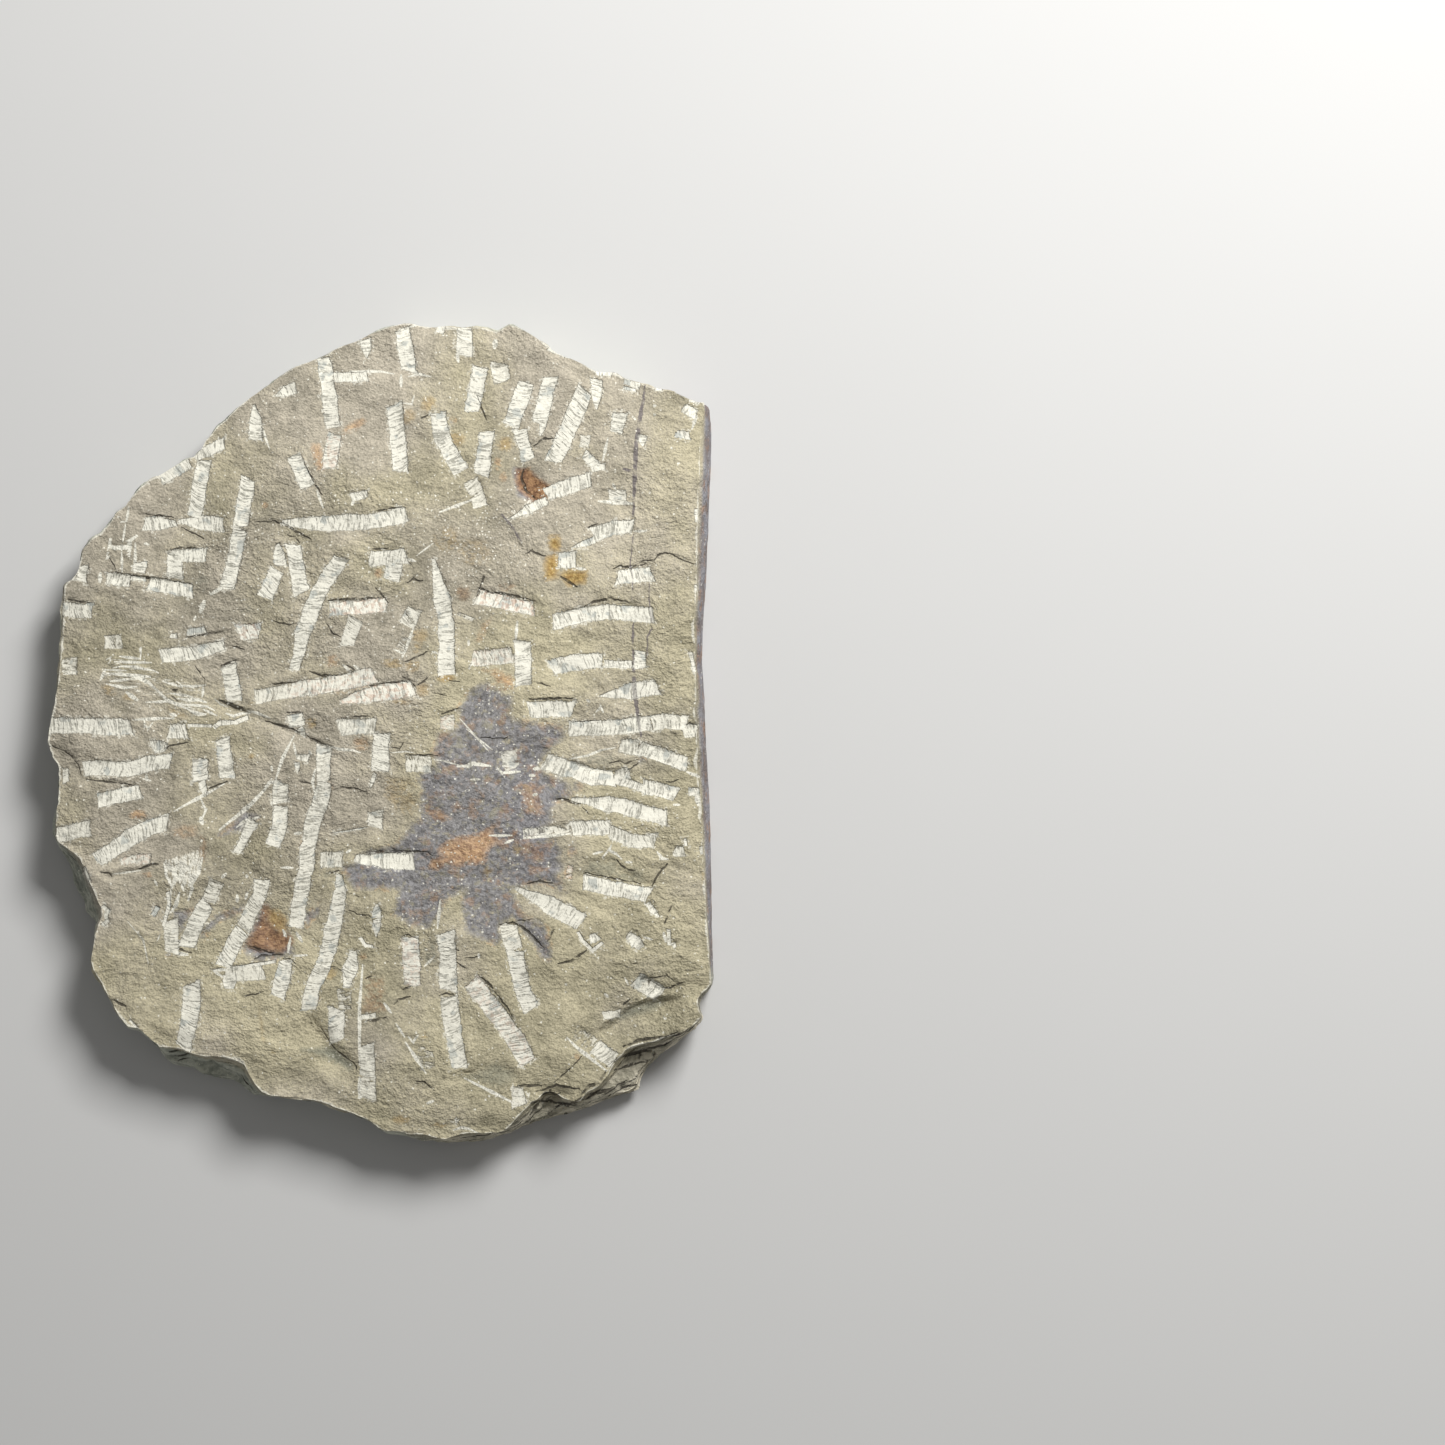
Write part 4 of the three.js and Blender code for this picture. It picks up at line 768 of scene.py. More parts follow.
def polar_table(points):
    """Bearing in degrees against distance from the origin, in rising order of bearing, for a line
    whose straight stretches are cut no longer than OUTLINE_STEP."""
    counts = np.ceil(np.hypot(*np.diff(points, axis=0).T) / OUTLINE_STEP).astype(int)
    pieces = [
        start + (end - start) * np.arange(count)[:, None] / count
        for start, end, count in zip(points, points[1:], counts)
    ]
    return sorted_pair(*polar(*np.vstack([*pieces, points[-1:]]).T))


OUTLINE_TABLE = polar_table(pairs(OUTLINE + OUTLINE[:2]))
RIM_TABLES = [polar_table(pairs(line)) for line in RIM_SPANS.values()]


def outline_radius(bearing):
    """Distance from the origin to the widest outline at a bearing."""
    return np.interp(bearing, *OUTLINE_TABLE, period=360)


def rim_radius(bearing, chip):
    """Distance to the edge of the upper face: just inside the outline, or on the span that covers
    the bearing, and broken inwards by small chips of the given depth."""
    radius = outline_radius(bearing) - RIM_ROUND
    for bearings, radii in RIM_TABLES:
        covered = (bearing >= bearings[0]) & (bearing <= bearings[-1])
        radius = np.where(covered, np.minimum(radius, np.interp(bearing, bearings, radii)), radius)
    angle = np.radians(bearing)
    ring = CHIP_RING * np.column_stack([np.cos(angle), np.sin(angle), 0 * angle])
    broken = terraced(fractal(ring, "rim chips") + 0.2, 0.35, 0.4)
    return radius - chip * np.clip(broken, 0, 1)


def rim_distance(x, y, chip):
    """How far a point lies inside the edge of the upper face."""
    bearing, radius = polar(x, y)
    return rim_radius(bearing, chip) - radius


def line_fall(line, drop, reach, face_width, x, y):
    """The fall beside a line. The nearest stretch says on which side of the line a point lies, how
    far off, and whether it is past the line's ends. The right-hand side falls by the drop over the
    face's width and climbs back within the reach, and past the ends the fall dies out."""
    nearest = np.full(x.shape, np.inf)
    fall = np.zeros(x.shape)
    for (x0, y0), (x1, y1) in zip(line, line[1:]):
        length = math.hypot(x1 - x0, y1 - y0)
        along = ((x - x0) * (x1 - x0) + (y - y0) * (y1 - y0)) / length
        right = ((x - x0) * (y1 - y0) - (y - y0) * (x1 - x0)) / length
        past = np.maximum(0, np.maximum(-along, along - length))
        distance = np.hypot(past, right)
        face = smooth(right / face_width + 0.5)
        fade = np.clip(1 - np.maximum(0, right) / reach, 0, 1) ** 2
        here = drop * face * fade * (1 - smooth(past / (reach * 0.6)))
        fall = np.where(distance < nearest, here, fall)
        nearest = np.minimum(nearest, distance)
    return fall


def window(points, reach, x, y):
    """Numbers of the places that lie in the box round some points, grown by a reach."""
    low = np.min(points, axis=0) - reach
    high = np.max(points, axis=0) + reach
    return np.flatnonzero((x > low[0]) & (x < high[0]) & (y > low[1]) & (y < high[1]))


def broad_height(x, y, chip):
    """Height of the upper face without its fine relief: the thickness with slow waves, less the
    ledges and hollows, and less the sag over the last few millimetres before the rim."""
    border = rim_distance(x, y, chip)
    height = np.full(x.shape, float(THICKNESS))
    for rise, length, heading, phase in WAVES:
        turn = math.radians(heading)
        along = x * math.cos(turn) + y * math.sin(turn)
        height += rise * np.sin(2 * math.pi * along / length + phase)
    for drop, reach, line, *face in LEDGES:
        height -= line_fall(pairs(line), drop, reach, *(face or [LEDGE_FACE]), x, y)
    for cx, cy, wide, long, depth in HOLLOWS:
        share = np.hypot((x - cx) / wide, (y - cy) / long)
        height -= depth * (1 - smooth(share * 0.9 - 0.1))
    return height - EDGE_SAG * (1 - smooth(border / EDGE_SAG_WIDTH))


def flaky_relief(x, y, step):
    """Low flakes, a little longer along X: a warped fractal noise cut into soft steps, with a finer
    noise on it."""
    points = np.column_stack([x, y, 0 * x])
    warps = fractal(points, "warp along x"), fractal(points, "warp along y")
    warp = np.column_stack([*warps, 0 * x])
    slow = fractal(points + 2.2 * warp, "flakes")
    fine = fractal(points, "small flakes")
    return terraced(2.8 * step * slow, step, 0.6) + 0.32 * step * fine


STRETCH = np.dtype(
    [(name, float) for name in ("x", "y", "dx", "dy", "length", "before", "whole")]
    + [(name, float) for name in ("width", "start", "end", "pale", "mark")]
    + [("first", bool), ("last", bool)]
)


def stretch_table(marks):
    """The marks' paths as straight stretches: start, direction and length, the distance walked
    before it and the whole mark's length, and the mark's own width, ends and paleness."""
    rows = []
    for number, mark in enumerate(marks):
        points = pairs(mark.path)
        steps = np.diff(points, axis=0)
        lengths = np.hypot(*steps.T)
        before = np.concatenate([[0], np.cumsum(lengths)])
        for k, length in enumerate(lengths):
            place = (*points[k], *(steps[k] / length), length, before[k], before[-1])
            form = (mark.width, mark.start, mark.end, mark.pale, number)
            rows.append((*place, *form, k == 0, k == len(lengths) - 1))
    return np.array(rows, STRETCH)


def half_width(stretch, walked):
    """Half the mark's width at a distance walked: full in the middle, and narrowing straight to the
    share given for each end over the taper's length."""
    taper = np.minimum(MARK_TAPER, stretch["whole"] / 2)
    from_start = mix(stretch["start"], 1, walked / taper)
    from_end = mix(stretch["end"], 1, (stretch["whole"] - walked) / taper)
    return stretch["width"] / 2 * np.clip(np.minimum(from_start, from_end), 0.05, 1)


def mark_places(stretch, x, y):
    """A point's place in a stretch: distance walked, distance to the right, the half-width there, and
    how far inside the mark's own ends it lies."""
    along = (x - stretch["x"]) * stretch["dx"] + (y - stretch["y"]) * stretch["dy"]
    right = (x - stretch["x"]) * stretch["dy"] - (y - stretch["y"]) * stretch["dx"]
    walked = stretch["before"] + along
    ends = np.minimum(
        np.where(stretch["first"], along, MARK_REACH * 2),
        np.where(stretch["last"], stretch["length"] - along, MARK_REACH * 2),
    )
    past_bend = np.maximum(
        np.where(stretch["first"], 0, -along),
        np.where(stretch["last"], 0, along - stretch["length"]),
    )
    return walked, right, half_width(stretch, walked), ends, np.maximum(past_bend, 0)


def nearest_stretches(table, x, y, layers):
    """The nearest stretches of as many different marks as there are layers, and the distance
    outside each: the larger of the distance past its side and the distance past its end."""
    distances = np.full((layers, x.size), float(MARK_REACH))
    chosen = np.full((layers, x.size), -1)
    for number in range(int(table["mark"][-1]) + 1):
        rows = np.flatnonzero(table["mark"] == number)
        first, last = table[rows[0]], table[rows[-1]]
        tip = (last["x"] + last["dx"] * last["length"], last["y"] + last["dy"] * last["length"])
        points = [*zip(table["x"][rows], table["y"][rows]), tip]
        near = window(points, MARK_REACH + first["width"], x, y)
        distance = np.full(near.size, np.inf)
        row = np.full(near.size, -1)
        for k in rows:
            _, right, half, ends, past = mark_places(table[k], x[near], y[near])
            outside = np.maximum(np.hypot(right, past) - half, -ends)
            row = np.where(outside < distance, k, row)
            distance = np.minimum(outside, distance)
        for layer in range(layers):
            closer = distance < distances[layer, near]
            kept = distances[layer, near], chosen[layer, near]
            distances[layer, near] = np.where(closer, distance, kept[0])
            chosen[layer, near] = np.where(closer, row, kept[1])
            distance = np.where(closer, kept[0], distance)
            row = np.where(closer, kept[1], row)
    return distances, chosen


def polygon_depth(outline, x, y):
    """How deep a point lies inside an outline: the distance to its nearest side, negative outside.
    A point is inside where a line from it along X crosses the outline an odd number of times."""
    depth = np.full(x.shape, np.inf)
    inside = np.zeros(x.shape, bool)
    for (x0, y0), (x1, y1) in zip(outline, np.roll(outline, -1, axis=0)):
        length = math.hypot(x1 - x0, y1 - y0)
        along = ((x - x0) * (x1 - x0) + (y - y0) * (y1 - y0)) / length
        along = np.clip(along, 0, length) / length
        depth = np.minimum(depth, np.hypot(x - mix(x0, x1, along), y - mix(y0, y1, along)))
        if y0 != y1:
            crossing = x0 + (y - y0) / (y1 - y0) * (x1 - x0)
            inside ^= ((y0 > y) != (y1 > y)) & (x < crossing)
    return np.where(inside, depth, -depth)


def lay_patch(amount, strength, outline, x, y):
    """Raises the amounts inside an outline to a strength, which fades to nothing across its edge."""
    near = window(outline, 2 * STAIN_SOFTNESS, x, y)
    depth = polygon_depth(outline, x[near], y[near])
    here = strength * np.clip(0.5 + depth / (2 * STAIN_SOFTNESS), 0, 1)
    amount[near] = np.maximum(amount[near], here)


def stain_amount(name, x, y):
    """A stain's strength at a point, from 0 to 1: the strongest of the outlines and round spots of
    that colour, each fading from its full strength to nothing across its edge."""
    amount = np.zeros(x.shape)
    for strength, outline in STAINS.get(name, ()):
        lay_patch(amount, strength, pairs(outline), x, y)
    for strength, cx, cy, wide, long in SPOTS.get(name, ()):
        share = np.hypot((x - cx) / wide, (y - cy) / long)
        amount = np.maximum(amount, strength * np.clip(1.5 - share, 0, 1))
    return amount


def disc_grid(cells):
    """A square grid mapped onto a disc. The larger coordinate is the share of the radius, and the
    ratio of the smaller to it is the part of an eighth of a turn from the nearest axis."""
    line = np.linspace(-1, 1, cells + 1)
    a, b = (side.ravel() for side in np.meshgrid(line, line))
    wide = np.abs(a) > np.abs(b)
    larger = np.where(wide, a, b)
    smaller = np.where(wide, b, a)
    ratio = np.divide(smaller, larger, out=np.zeros_like(a), where=larger != 0)
    bearing = np.where(wide, ratio, 2 - ratio) * 45 + np.where(larger < 0, 180, 0)
    return np.abs(larger), np.where(bearing > 180, bearing - 360, bearing)


def grid_faces(cells):
    """The grid's square faces, counter-clockwise seen from above."""
    column, row = np.meshgrid(np.arange(cells), np.arange(cells))
    a = (row * (cells + 1) + column).ravel()
    return np.column_stack([a, a + 1, a + cells + 2, a + cells + 1])


def grid_edge(cells):
    """Numbers of the grid's outer points, counter-clockwise from the lower right corner."""
    step = np.arange(cells)
    width = cells + 1
    return np.concatenate(
        [step * width + cells, cells * width + cells - step, (cells - step) * width, step]
    )


def stretched_disc(share, bearing, mean, edge):
    """X and Y on a disc whose edge isn't round. The distance from the middle is the share of the mean
    radius, with the edge's own departure from it coming in as the cube of the share."""
    radius = share * (mean + (edge - mean) * share * share)
    return radius * np.cos(np.radians(bearing)), radius * np.sin(np.radians(bearing))


def upper_face(shape):
    """The upper face: the disc grid stretched to the rim, at the broad height plus the flaky relief,
    which the chisel's tracks have mostly cut away, less their grooves and the cracks."""
    chip = shape.chip_depth / MM
    share, bearing = disc_grid(shape.grid_cells)
    rim = rim_radius(bearing, chip)
    mean = rim_radius(np.arange(-180, 180, 0.5), chip).mean()
    x, y = stretched_disc(share, bearing, mean, rim)
    outside, _ = nearest_stretches(stretch_table(TRACKS), x, y, 1)
    cut = smooth(0.5 - outside[0] / GROOVE_WALL)
    relief = flaky_relief(x, y, shape.flake_step / MM)
    for _, drop, line in CRACKS:
        line = pairs(line)
        near = window(line, CRACK_REACH, x, y)
        relief[near] -= line_fall(line, drop, CRACK_REACH, CRACK_FACE, x[near], y[near])
    height = broad_height(x, y, chip) + relief * (1 - 0.6 * cut) - cut * shape.groove_depth / MM
    return np.column_stack([x, y, height])


def side_rows(rim, shape):
    """The side from the rim to the foot, row by row: the profile for its bearing, pushed in and out
    by noise in thin level layers, so that it breaks along the bedding. Where it slopes it falls in
    level steps. The joint face is calmer."""
    bearing, inner = polar(*rim[:, :2].T)
    outer = np.maximum(outline_radius(bearing), inner + 0.1)
    widest, shelf, undercut = (np.interp(bearing, SIDE[:, 0], SIDE[:, k]) for k in (1, 2, 3))
    low, high = JOINT_FACE_BEARINGS
    calm = smooth((bearing - low) / 3) * smooth((high - bearing) / 3)
    sloping = smooth((outer - inner - 3) / 6)
    rows = []
    for share in np.arange(1, shape.side_rows + 1) / shape.side_rows:
        plain_out, plain_down, shelf_out, shelf_down, under, foot = (
            np.interp(share, PROFILE_AT, column)
            for column in (PLAIN_OUT, PLAIN_DOWN, SHELF_OUT, SHELF_DOWN, UNDERCUT_SHARE, FOOT_SHARE)
        )
        radius = mix(inner, outer, mix(plain_out, shelf_out, shelf)) - undercut * under
        height = mix(rim[:, 2], widest, mix(plain_down, shelf_down, shelf)) * (1 - foot)
        ring = np.column_stack([rim[:, 0], rim[:, 1], height])
        uneven = 1.3 * fractal(ring, "side steps") + 0.7 * fractal(ring, "small side steps")
        stepped = terraced(height + uneven, STEP_HEIGHT, 0.3) - uneven
        height = np.clip(mix(height, stepped, sloping), 0, rim[:, 2])
        scale = radius / inner
        points = np.column_stack([rim[:, 0] * scale, rim[:, 1] * scale, height])
        worn = mix(1, 0.35, calm) * smooth(share / 0.12)
        layers = terraced(fractal(points, "side layers"), LAYER_STEP, 0.4)
        layers = layers + 0.3 * fractal(points, "small side layers")
        push = shape.layer_depth / MM * worn * layers
        lift = 0.9 * worn * fractal(points, "side lift") * smooth((1 - share) / 0.15)
        scale = (radius + push) / inner
        points = np.column_stack(
            [rim[:, 0] * scale, rim[:, 1] * scale, np.maximum(height + lift, 0) * (share < 1)]
        )
        rows.append(points)
    return rows


def underside(foot, shape):
    """The underside inside the foot: the disc grid at half the cells, flat where it bears and with
    shallow stepped recesses between, where noise rises above nothing."""
    cells = shape.grid_cells // 2
    share, bearing = disc_grid(cells)
    edge = np.interp(bearing, *sorted_pair(*polar(*foot[:, :2].T)), period=360) - UNDERSIDE_INSET
    x, y = stretched_disc(share, bearing, edge.mean(), edge)
    points = np.column_stack([x, y, 0 * x])
    hollow = terraced(1.5 * fractal(points, "underside"), RECESS_STEP, 0.3)
    lift = np.clip(hollow, 0, RECESS_DEPTH) * smooth((1 - share) / 0.03)
    return np.column_stack([x, y, lift])


def slab_surface(shape):
    """The whole closed surface: upper face, side rows, underside, and the strip that joins the foot
    to the underside, where three triangles meet every two stretches of the foot. Returns points,
    square faces, triangles, and each point's share of the way down the side."""
    upper = upper_face(shape)
    upper_faces = grid_faces(shape.grid_cells)
    edge = grid_edge(shape.grid_cells)
    rows = side_rows(upper[edge], shape)
    lower = underside(rows[-1], shape)
    count = edge.size
    base = len(upper)
    ring_numbers = [edge, *(base + k * count + np.arange(count) for k in range(len(rows)))]
    side_faces = [
        np.column_stack([above, below, np.roll(below, -1), np.roll(above, -1)])
        for above, below in zip(ring_numbers, ring_numbers[1:])
    ]
    under_base = base + len(rows) * count
    under_faces = under_base + grid_faces(shape.grid_cells // 2)[:, ::-1]
    inner = under_base + grid_edge(shape.grid_cells // 2)
    inner_next = np.roll(inner, -1)
    ring = ring_numbers[-1]
    foot, middle, foot_next = ring[::2], ring[1::2], np.roll(ring, -2)[::2]
    strip = np.vstack(
        [
            np.column_stack([foot, inner, middle]),
            np.column_stack([middle, inner, inner_next]),
            np.column_stack([middle, inner_next, foot_next]),
        ]
    )
    points = np.vstack([upper, *rows, lower])
    way_down = np.concatenate(
        [
            np.zeros(base),
            np.repeat(np.arange(1, len(rows) + 1) / len(rows), count),
            np.full(len(lower), 1.0),
        ]
    )
    return points, np.vstack([upper_faces, *side_faces, under_faces]), strip, way_down


def write_mesh(name, points, squares, triangles):
    """A mesh object from points in millimetres, square faces and triangles, smooth but for its
    sharper breaks."""
    mesh = bpy.data.meshes.new(name)
    corners = np.concatenate([squares.ravel(), triangles.ravel()])
    starts = np.concatenate(
        [np.arange(len(squares)) * 4, squares.size + np.arange(len(triangles)) * 3]
    )
    mesh.vertices.add(len(points))
    mesh.vertices.foreach_set("co", (points * MM).ravel())
    mesh.loops.add(len(corners))
    mesh.loops.foreach_set("vertex_index", corners)
    mesh.polygons.add(len(starts))
    mesh.polygons.foreach_set("loop_start", starts)
    mesh.polygons.foreach_set("use_smooth", np.ones(len(starts), bool))
    mesh.update(calc_edges=True)
    if mesh.validate():
        raise ValueError(f"the mesh of {name} is not sound")
    mesh.set_sharp_from_angle(angle=math.radians(SHARP_BREAK))
    piece = bpy.data.objects.new(name, mesh)
    bpy.context.scene.collection.objects.link(piece)
    return piece


def store(mesh, name, kind, domain, values):
    """Keeps an array on the mesh as a named attribute of its points or face corners."""
    attribute = mesh.attributes.new(name, kind, domain)
    field = "vector" if kind == "FLOAT_VECTOR" else "value"
    attribute.data.foreach_set(field, np.ascontiguousarray(values, np.float32).ravel())


def store_marks(mesh, name, marks, faces, triangles, points, way_down, layers, lowest):
    """Keeps, for every face corner, its place in the marks nearest to the face: walked, to the right
    and half-width in one vector, and depth inside the ends, paleness and a number for the mark in
    another. Each face takes one stretch for all its corners, so that these run straight across it.
    Faces farther down the side than the lowest share have no marks."""
    table = stretch_table(marks)
    centre = points[faces].mean(axis=1)
    low = way_down[faces].max(axis=1) > lowest
    _, chosen = nearest_stretches(table, np.where(low, FAR, centre[:, 0]), centre[:, 1], layers)
    corners = points[faces.ravel()]
    for layer, letter in zip(range(layers), "ab"):
        row = np.repeat(chosen[layer], 4)
        stretch = table[np.maximum(row, 0)]
        walked, right, half, ends, past = mark_places(stretch, corners[:, 0], corners[:, 1])
        right = np.where(row < 0, FAR, right)
        place = np.column_stack([walked, right, half])
        form = np.column_stack([ends, stretch["pale"], stretch["mark"] % MARK_LOOKS])
        rest = np.tile([0, FAR, 1], (triangles.size, 1))
        store(mesh, f"{name}_place_{letter}", "FLOAT_VECTOR", "CORNER", np.vstack([place, rest]))
        rest = np.zeros((triangles.size, 3))
        store(mesh, f"{name}_form_{letter}", "FLOAT_VECTOR", "CORNER", np.vstack([form, rest]))


def plain_marks(lines, share=1):
    """Lines of one width each, drawn out at both ends, as marks of a share of that width."""
    return [Mark(width * share, path, 1, 0.4, 0.4) for width, *_, path in lines]


def store_colours(mesh, points, way_down, chip):
    """Keeps each point's stains, wealth of mica, ragged pale patches, rosy track and wear along the
    rim, partly a painted highlight, from 0 to 1, how far down the side it lies, and its slow changes of
    tone and roughness."""
    x, y = points[:, 0], points[:, 1]
    upper = 1 - smooth(way_down / MARKED_SIDE)
    pale = np.zeros(x.shape)
    for strength, outline in PATCHES:
        lay_patch(pale, strength, pairs(outline), x, y)
    rosy = np.zeros(x.shape)
    for mark in TRACKS:
        if mark.rosy > 0:
            outside, _ = nearest_stretches(stretch_table([mark]), x, y, 1)
            rosy = np.maximum(rosy, mark.rosy * smooth(1 - outside[0]))
    border = rim_distance(x, y, chip)
    worn = np.where(way_down > 0, 1 - way_down / RIM_WEAR_DOWN, 1 - border / RIM_WEAR_WIDTH)
    kept = {name: stain_amount(name, x, y) * upper for name in (*STAIN_STRENGTHS, "mica")}
    kept |= {
        "pale_patch": pale * upper,
        "rosy": rosy * upper,
        "way_down": smooth(way_down / SIDE_COLOURED),
        "rim_wear_and_highlight": smooth(worn),
        "slow_tone": 0.17 * fractal(points, "broad tone") + 0.15 * fractal(points, "patchy tone"),
        "warmth": 0.5 + 0.5 * fractal(points, "warmth"),
        "rugged": smooth((fractal(points, "rugged") + 0.2) / 0.4),
        "seam_level": points[:, 2] / SEAM_SPACING + 0.75 * fractal(points, "seams"),
    }
    for name, values in kept.items():
        store(mesh, name, "FLOAT", "POINT", values)


def maths_method(operation, swapped=False):
    """A method that adds a math node for a value and another value or number."""

    def method(value, other):
        pair = (other, value) if swapped else (value, other)
        return value.write.maths(operation, *pair)

    return method


class Value:
    """What a node puts out. A sum of values adds math nodes."""

    __add__ = maths_method("ADD")
    __radd__ = maths_method("ADD", swapped=True)
    __sub__ = maths_method("SUBTRACT")
    __rsub__ = maths_method("SUBTRACT", swapped=True)
    __mul__ = maths_method("MULTIPLY")
    __truediv__ = maths_method("DIVIDE")
    __pow__ = maths_method("POWER")

    def __init__(self, write, socket):
        self.write = write
        self.socket = socket

    def __abs__(self):
        return self.write.maths("ABSOLUTE", self)

    def fade(self, low, high):
        """The smooth step from 0 at low to 1 at high, or down where low is the higher."""
        inputs = {"Value": self, "From Min": low, "From Max": high}
        settings = {"interpolation_type": "SMOOTHSTEP"}
        return self.write.place("ShaderNodeMapRange", inputs, "Result", **settings)

    def swing(self, size):
        """A value from 0 to 1 turned into a swing about nothing, of the given size in all."""
        return (self - 0.5) * size

    def between(self, first, second):
        """A number that goes from the first to the second as the value goes from 0 to 1."""
        inputs = {0: self, 2: first, 3: second}
        return self.write.place("ShaderNodeMix", inputs, data_type="FLOAT")

    def parts(self, kind="ShaderNodeSeparateXYZ"):
        """A vector's X, Y and Z, or a colour's parts."""
        node = self.write.add(kind, {0: self})
        return self.write.outputs(node).values()


class NodeWriter:
    """Adds nodes to a tree and feeds their sockets with numbers, colours or other nodes' values."""

    def __init__(self, tree):
        self.tree = tree

    def feed(self, node, inputs):
        """Links a node's inputs, given by name or number, or sets their own values."""
        for key, value in inputs.items():
            if isinstance(value, Value):
                self.tree.links.new(value.socket, node.inputs[key])
            else:
                node.inputs[key].default_value = value

    def add(self, kind, inputs, **settings):
        """A new node with the given settings, fed."""
        node = self.tree.nodes.new(kind)
        for name, value in settings.items():
            setattr(node, name, value)
        self.feed(node, inputs)
        return node

    def outputs(self, node):
        """All of a node's outputs by name, as values."""
        return {socket.name: Value(self, socket) for socket in node.outputs}

    def place(self, kind, inputs, output=0, **settings):
        """One output of a new node."""
        return Value(self, self.add(kind, inputs, **settings).outputs[output])

    def maths(self, operation, *values):
        """One sum of one or two values."""
        return self.place("ShaderNodeMath", dict(enumerate(values)), operation=operation)

    def mix(self, amount, first, second, blend_type="MIX"):
        """One colour over another."""
        inputs = {0: amount, 6: first, 7: second}
        return self.place("ShaderNodeMix", inputs, 2, data_type="RGBA", blend_type=blend_type)

    def plain_noise(self, place, detail, roughness=0.5, output="Fac"):
        """Noise from 0 to 1 whose lumps are about one unit of the given place."""
        inputs = {"Vector": place, "Scale": 1.0, "Detail": detail, "Roughness": roughness}
        return self.place("ShaderNodeTexNoise", inputs, output)

    def scaled(self, vector, scale, shift=(0, 0, 0)):
        """A vector times a scale along each axis, and moved."""
        inputs = {"Vector": vector, "Scale": scale, "Location": shift}
        return self.place("ShaderNodeMapping", inputs)

    def grain(self, place, name):
        """A named grain, from 0 to 1."""
        kind = GRAINS[name]
        scale = [1 / (kind.size * MM * each) for each in kind.stretch]
        return self.plain_noise(self.scaled(place, scale, kind.shift), kind.detail, kind.roughness)

    def attribute(self, name, output="Fac"):
        """A named attribute of the mesh."""
        settings = {"attribute_type": "GEOMETRY", "attribute_name": name}
        return self.place("ShaderNodeAttribute", {}, output, **settings)

    def marks(self, kind, layer="a"):
        """What the mesh keeps of one layer of one kind of marks, named for a group's inputs."""
        names = {"Place": f"{kind}_place_{layer}", "Form": f"{kind}_form_{layer}"}
        return {key: self.attribute(name, "Vector") for key, name in names.items()}

    def use_group(self, tree, **inputs):
        """Places a group, and returns its outputs by name."""
        return self.outputs(self.add("ShaderNodeGroup", inputs, node_tree=tree))

    def group_of(self, **results):
        """Ends a group with its results, and returns the group."""
        self.add("NodeGroupOutput", results)
        return self.tree


def new_group(name, vectors, numbers, results):
    """An empty shader node group that takes vectors and numbers and puts out numbers: its writer,
    and what it is given, by name."""
    tree = bpy.data.node_groups.new(name, "ShaderNodeTree")
    for names, in_out, kind in (
        (vectors, "INPUT", "NodeSocketVector"),
        (numbers, "INPUT", "NodeSocketFloat"),
        (results, "OUTPUT", "NodeSocketFloat"),
    ):
        for each in names:
            tree.interface.new_socket(name=each, in_out=in_out, socket_type=kind)
    write = NodeWriter(tree)
    return write, write.outputs(write.add("NodeGroupInput", {}))


def chisel_mark_group():
    """A chisel's mark: how much of the surface it covers, how pale its ribs are, how far it is dug
    in, and the pale dust beside it. The edge is where the point is farther right than the half-width,
    or past an end, and an end is cut askew. Both are moved to and fro by the given grains and by the
    ribs. The ribs are noise drawn out across the track, slightly bowed, and each mark leans them its
    own way. A weaker mark is broken by patches of bare rock."""
    vectors, numbers = ("Place", "Form"), ("Slow", "Patches", "Fine")
    write, given = new_group("chisel mark", vectors, numbers, ("Cover", "Pale", "Dug", "Dust"))
    walked, right, half = given["Place"].parts()
    ends, pale, mark = given["Form"].parts()
    slow, patches, fine = (given[name] for name in numbers)
    seed = mark * 7.31
    lean = write.maths("SINE", seed) * RIB_LEAN
    bowed = walked + right * right * RIB_BOW + right * lean + slow.swing(RIB_SWAY)
    ribs = []
    for pitch, reach in RIB_SIZES:
        spot = write.place("ShaderNodeCombineXYZ", {0: bowed / pitch, 1: right / reach, 2: seed})
        ribs.append(write.plain_noise(spot, 3.0, 0.6))
    fine_rib, band = ribs
    breadth = write.maths("MINIMUM", half * 0.55, 1.0)
    wobble = (fine_rib.swing(1.7) + slow.swing(1.7) + fine.swing(1.4)) * breadth
    askew = write.maths("SINE", mark * 5.1) * END_SKEW
    depth_in = ends + right * askew
    outside = write.maths("MAXIMUM", abs(right) - half, depth_in * -1.0) + wobble
    whole = pale + patches.swing(1.1) * (1.3 - pale) + fine_rib.swing(0.7) + band.swing(0.4)
    tone = fine_rib.swing(1.5) + band.swing(0.45) + fine.swing(0.7) + patches.swing(0.5)
    dust = (fine.swing(2.0) + patches.swing(1.6)) * (outside.fade(2.6, 0.0) * pale)
    return write.group_of(
        Cover=outside.fade(0.08, -0.12) * whole.fade(0.26, 0.5) * pale ** 0.35,
        Pale=tone.fade(-0.34, 0.07),
        Dust=dust.fade(0.1, 0.24),
        Dug=outside.fade(0.5, -0.35) * pale,
    )


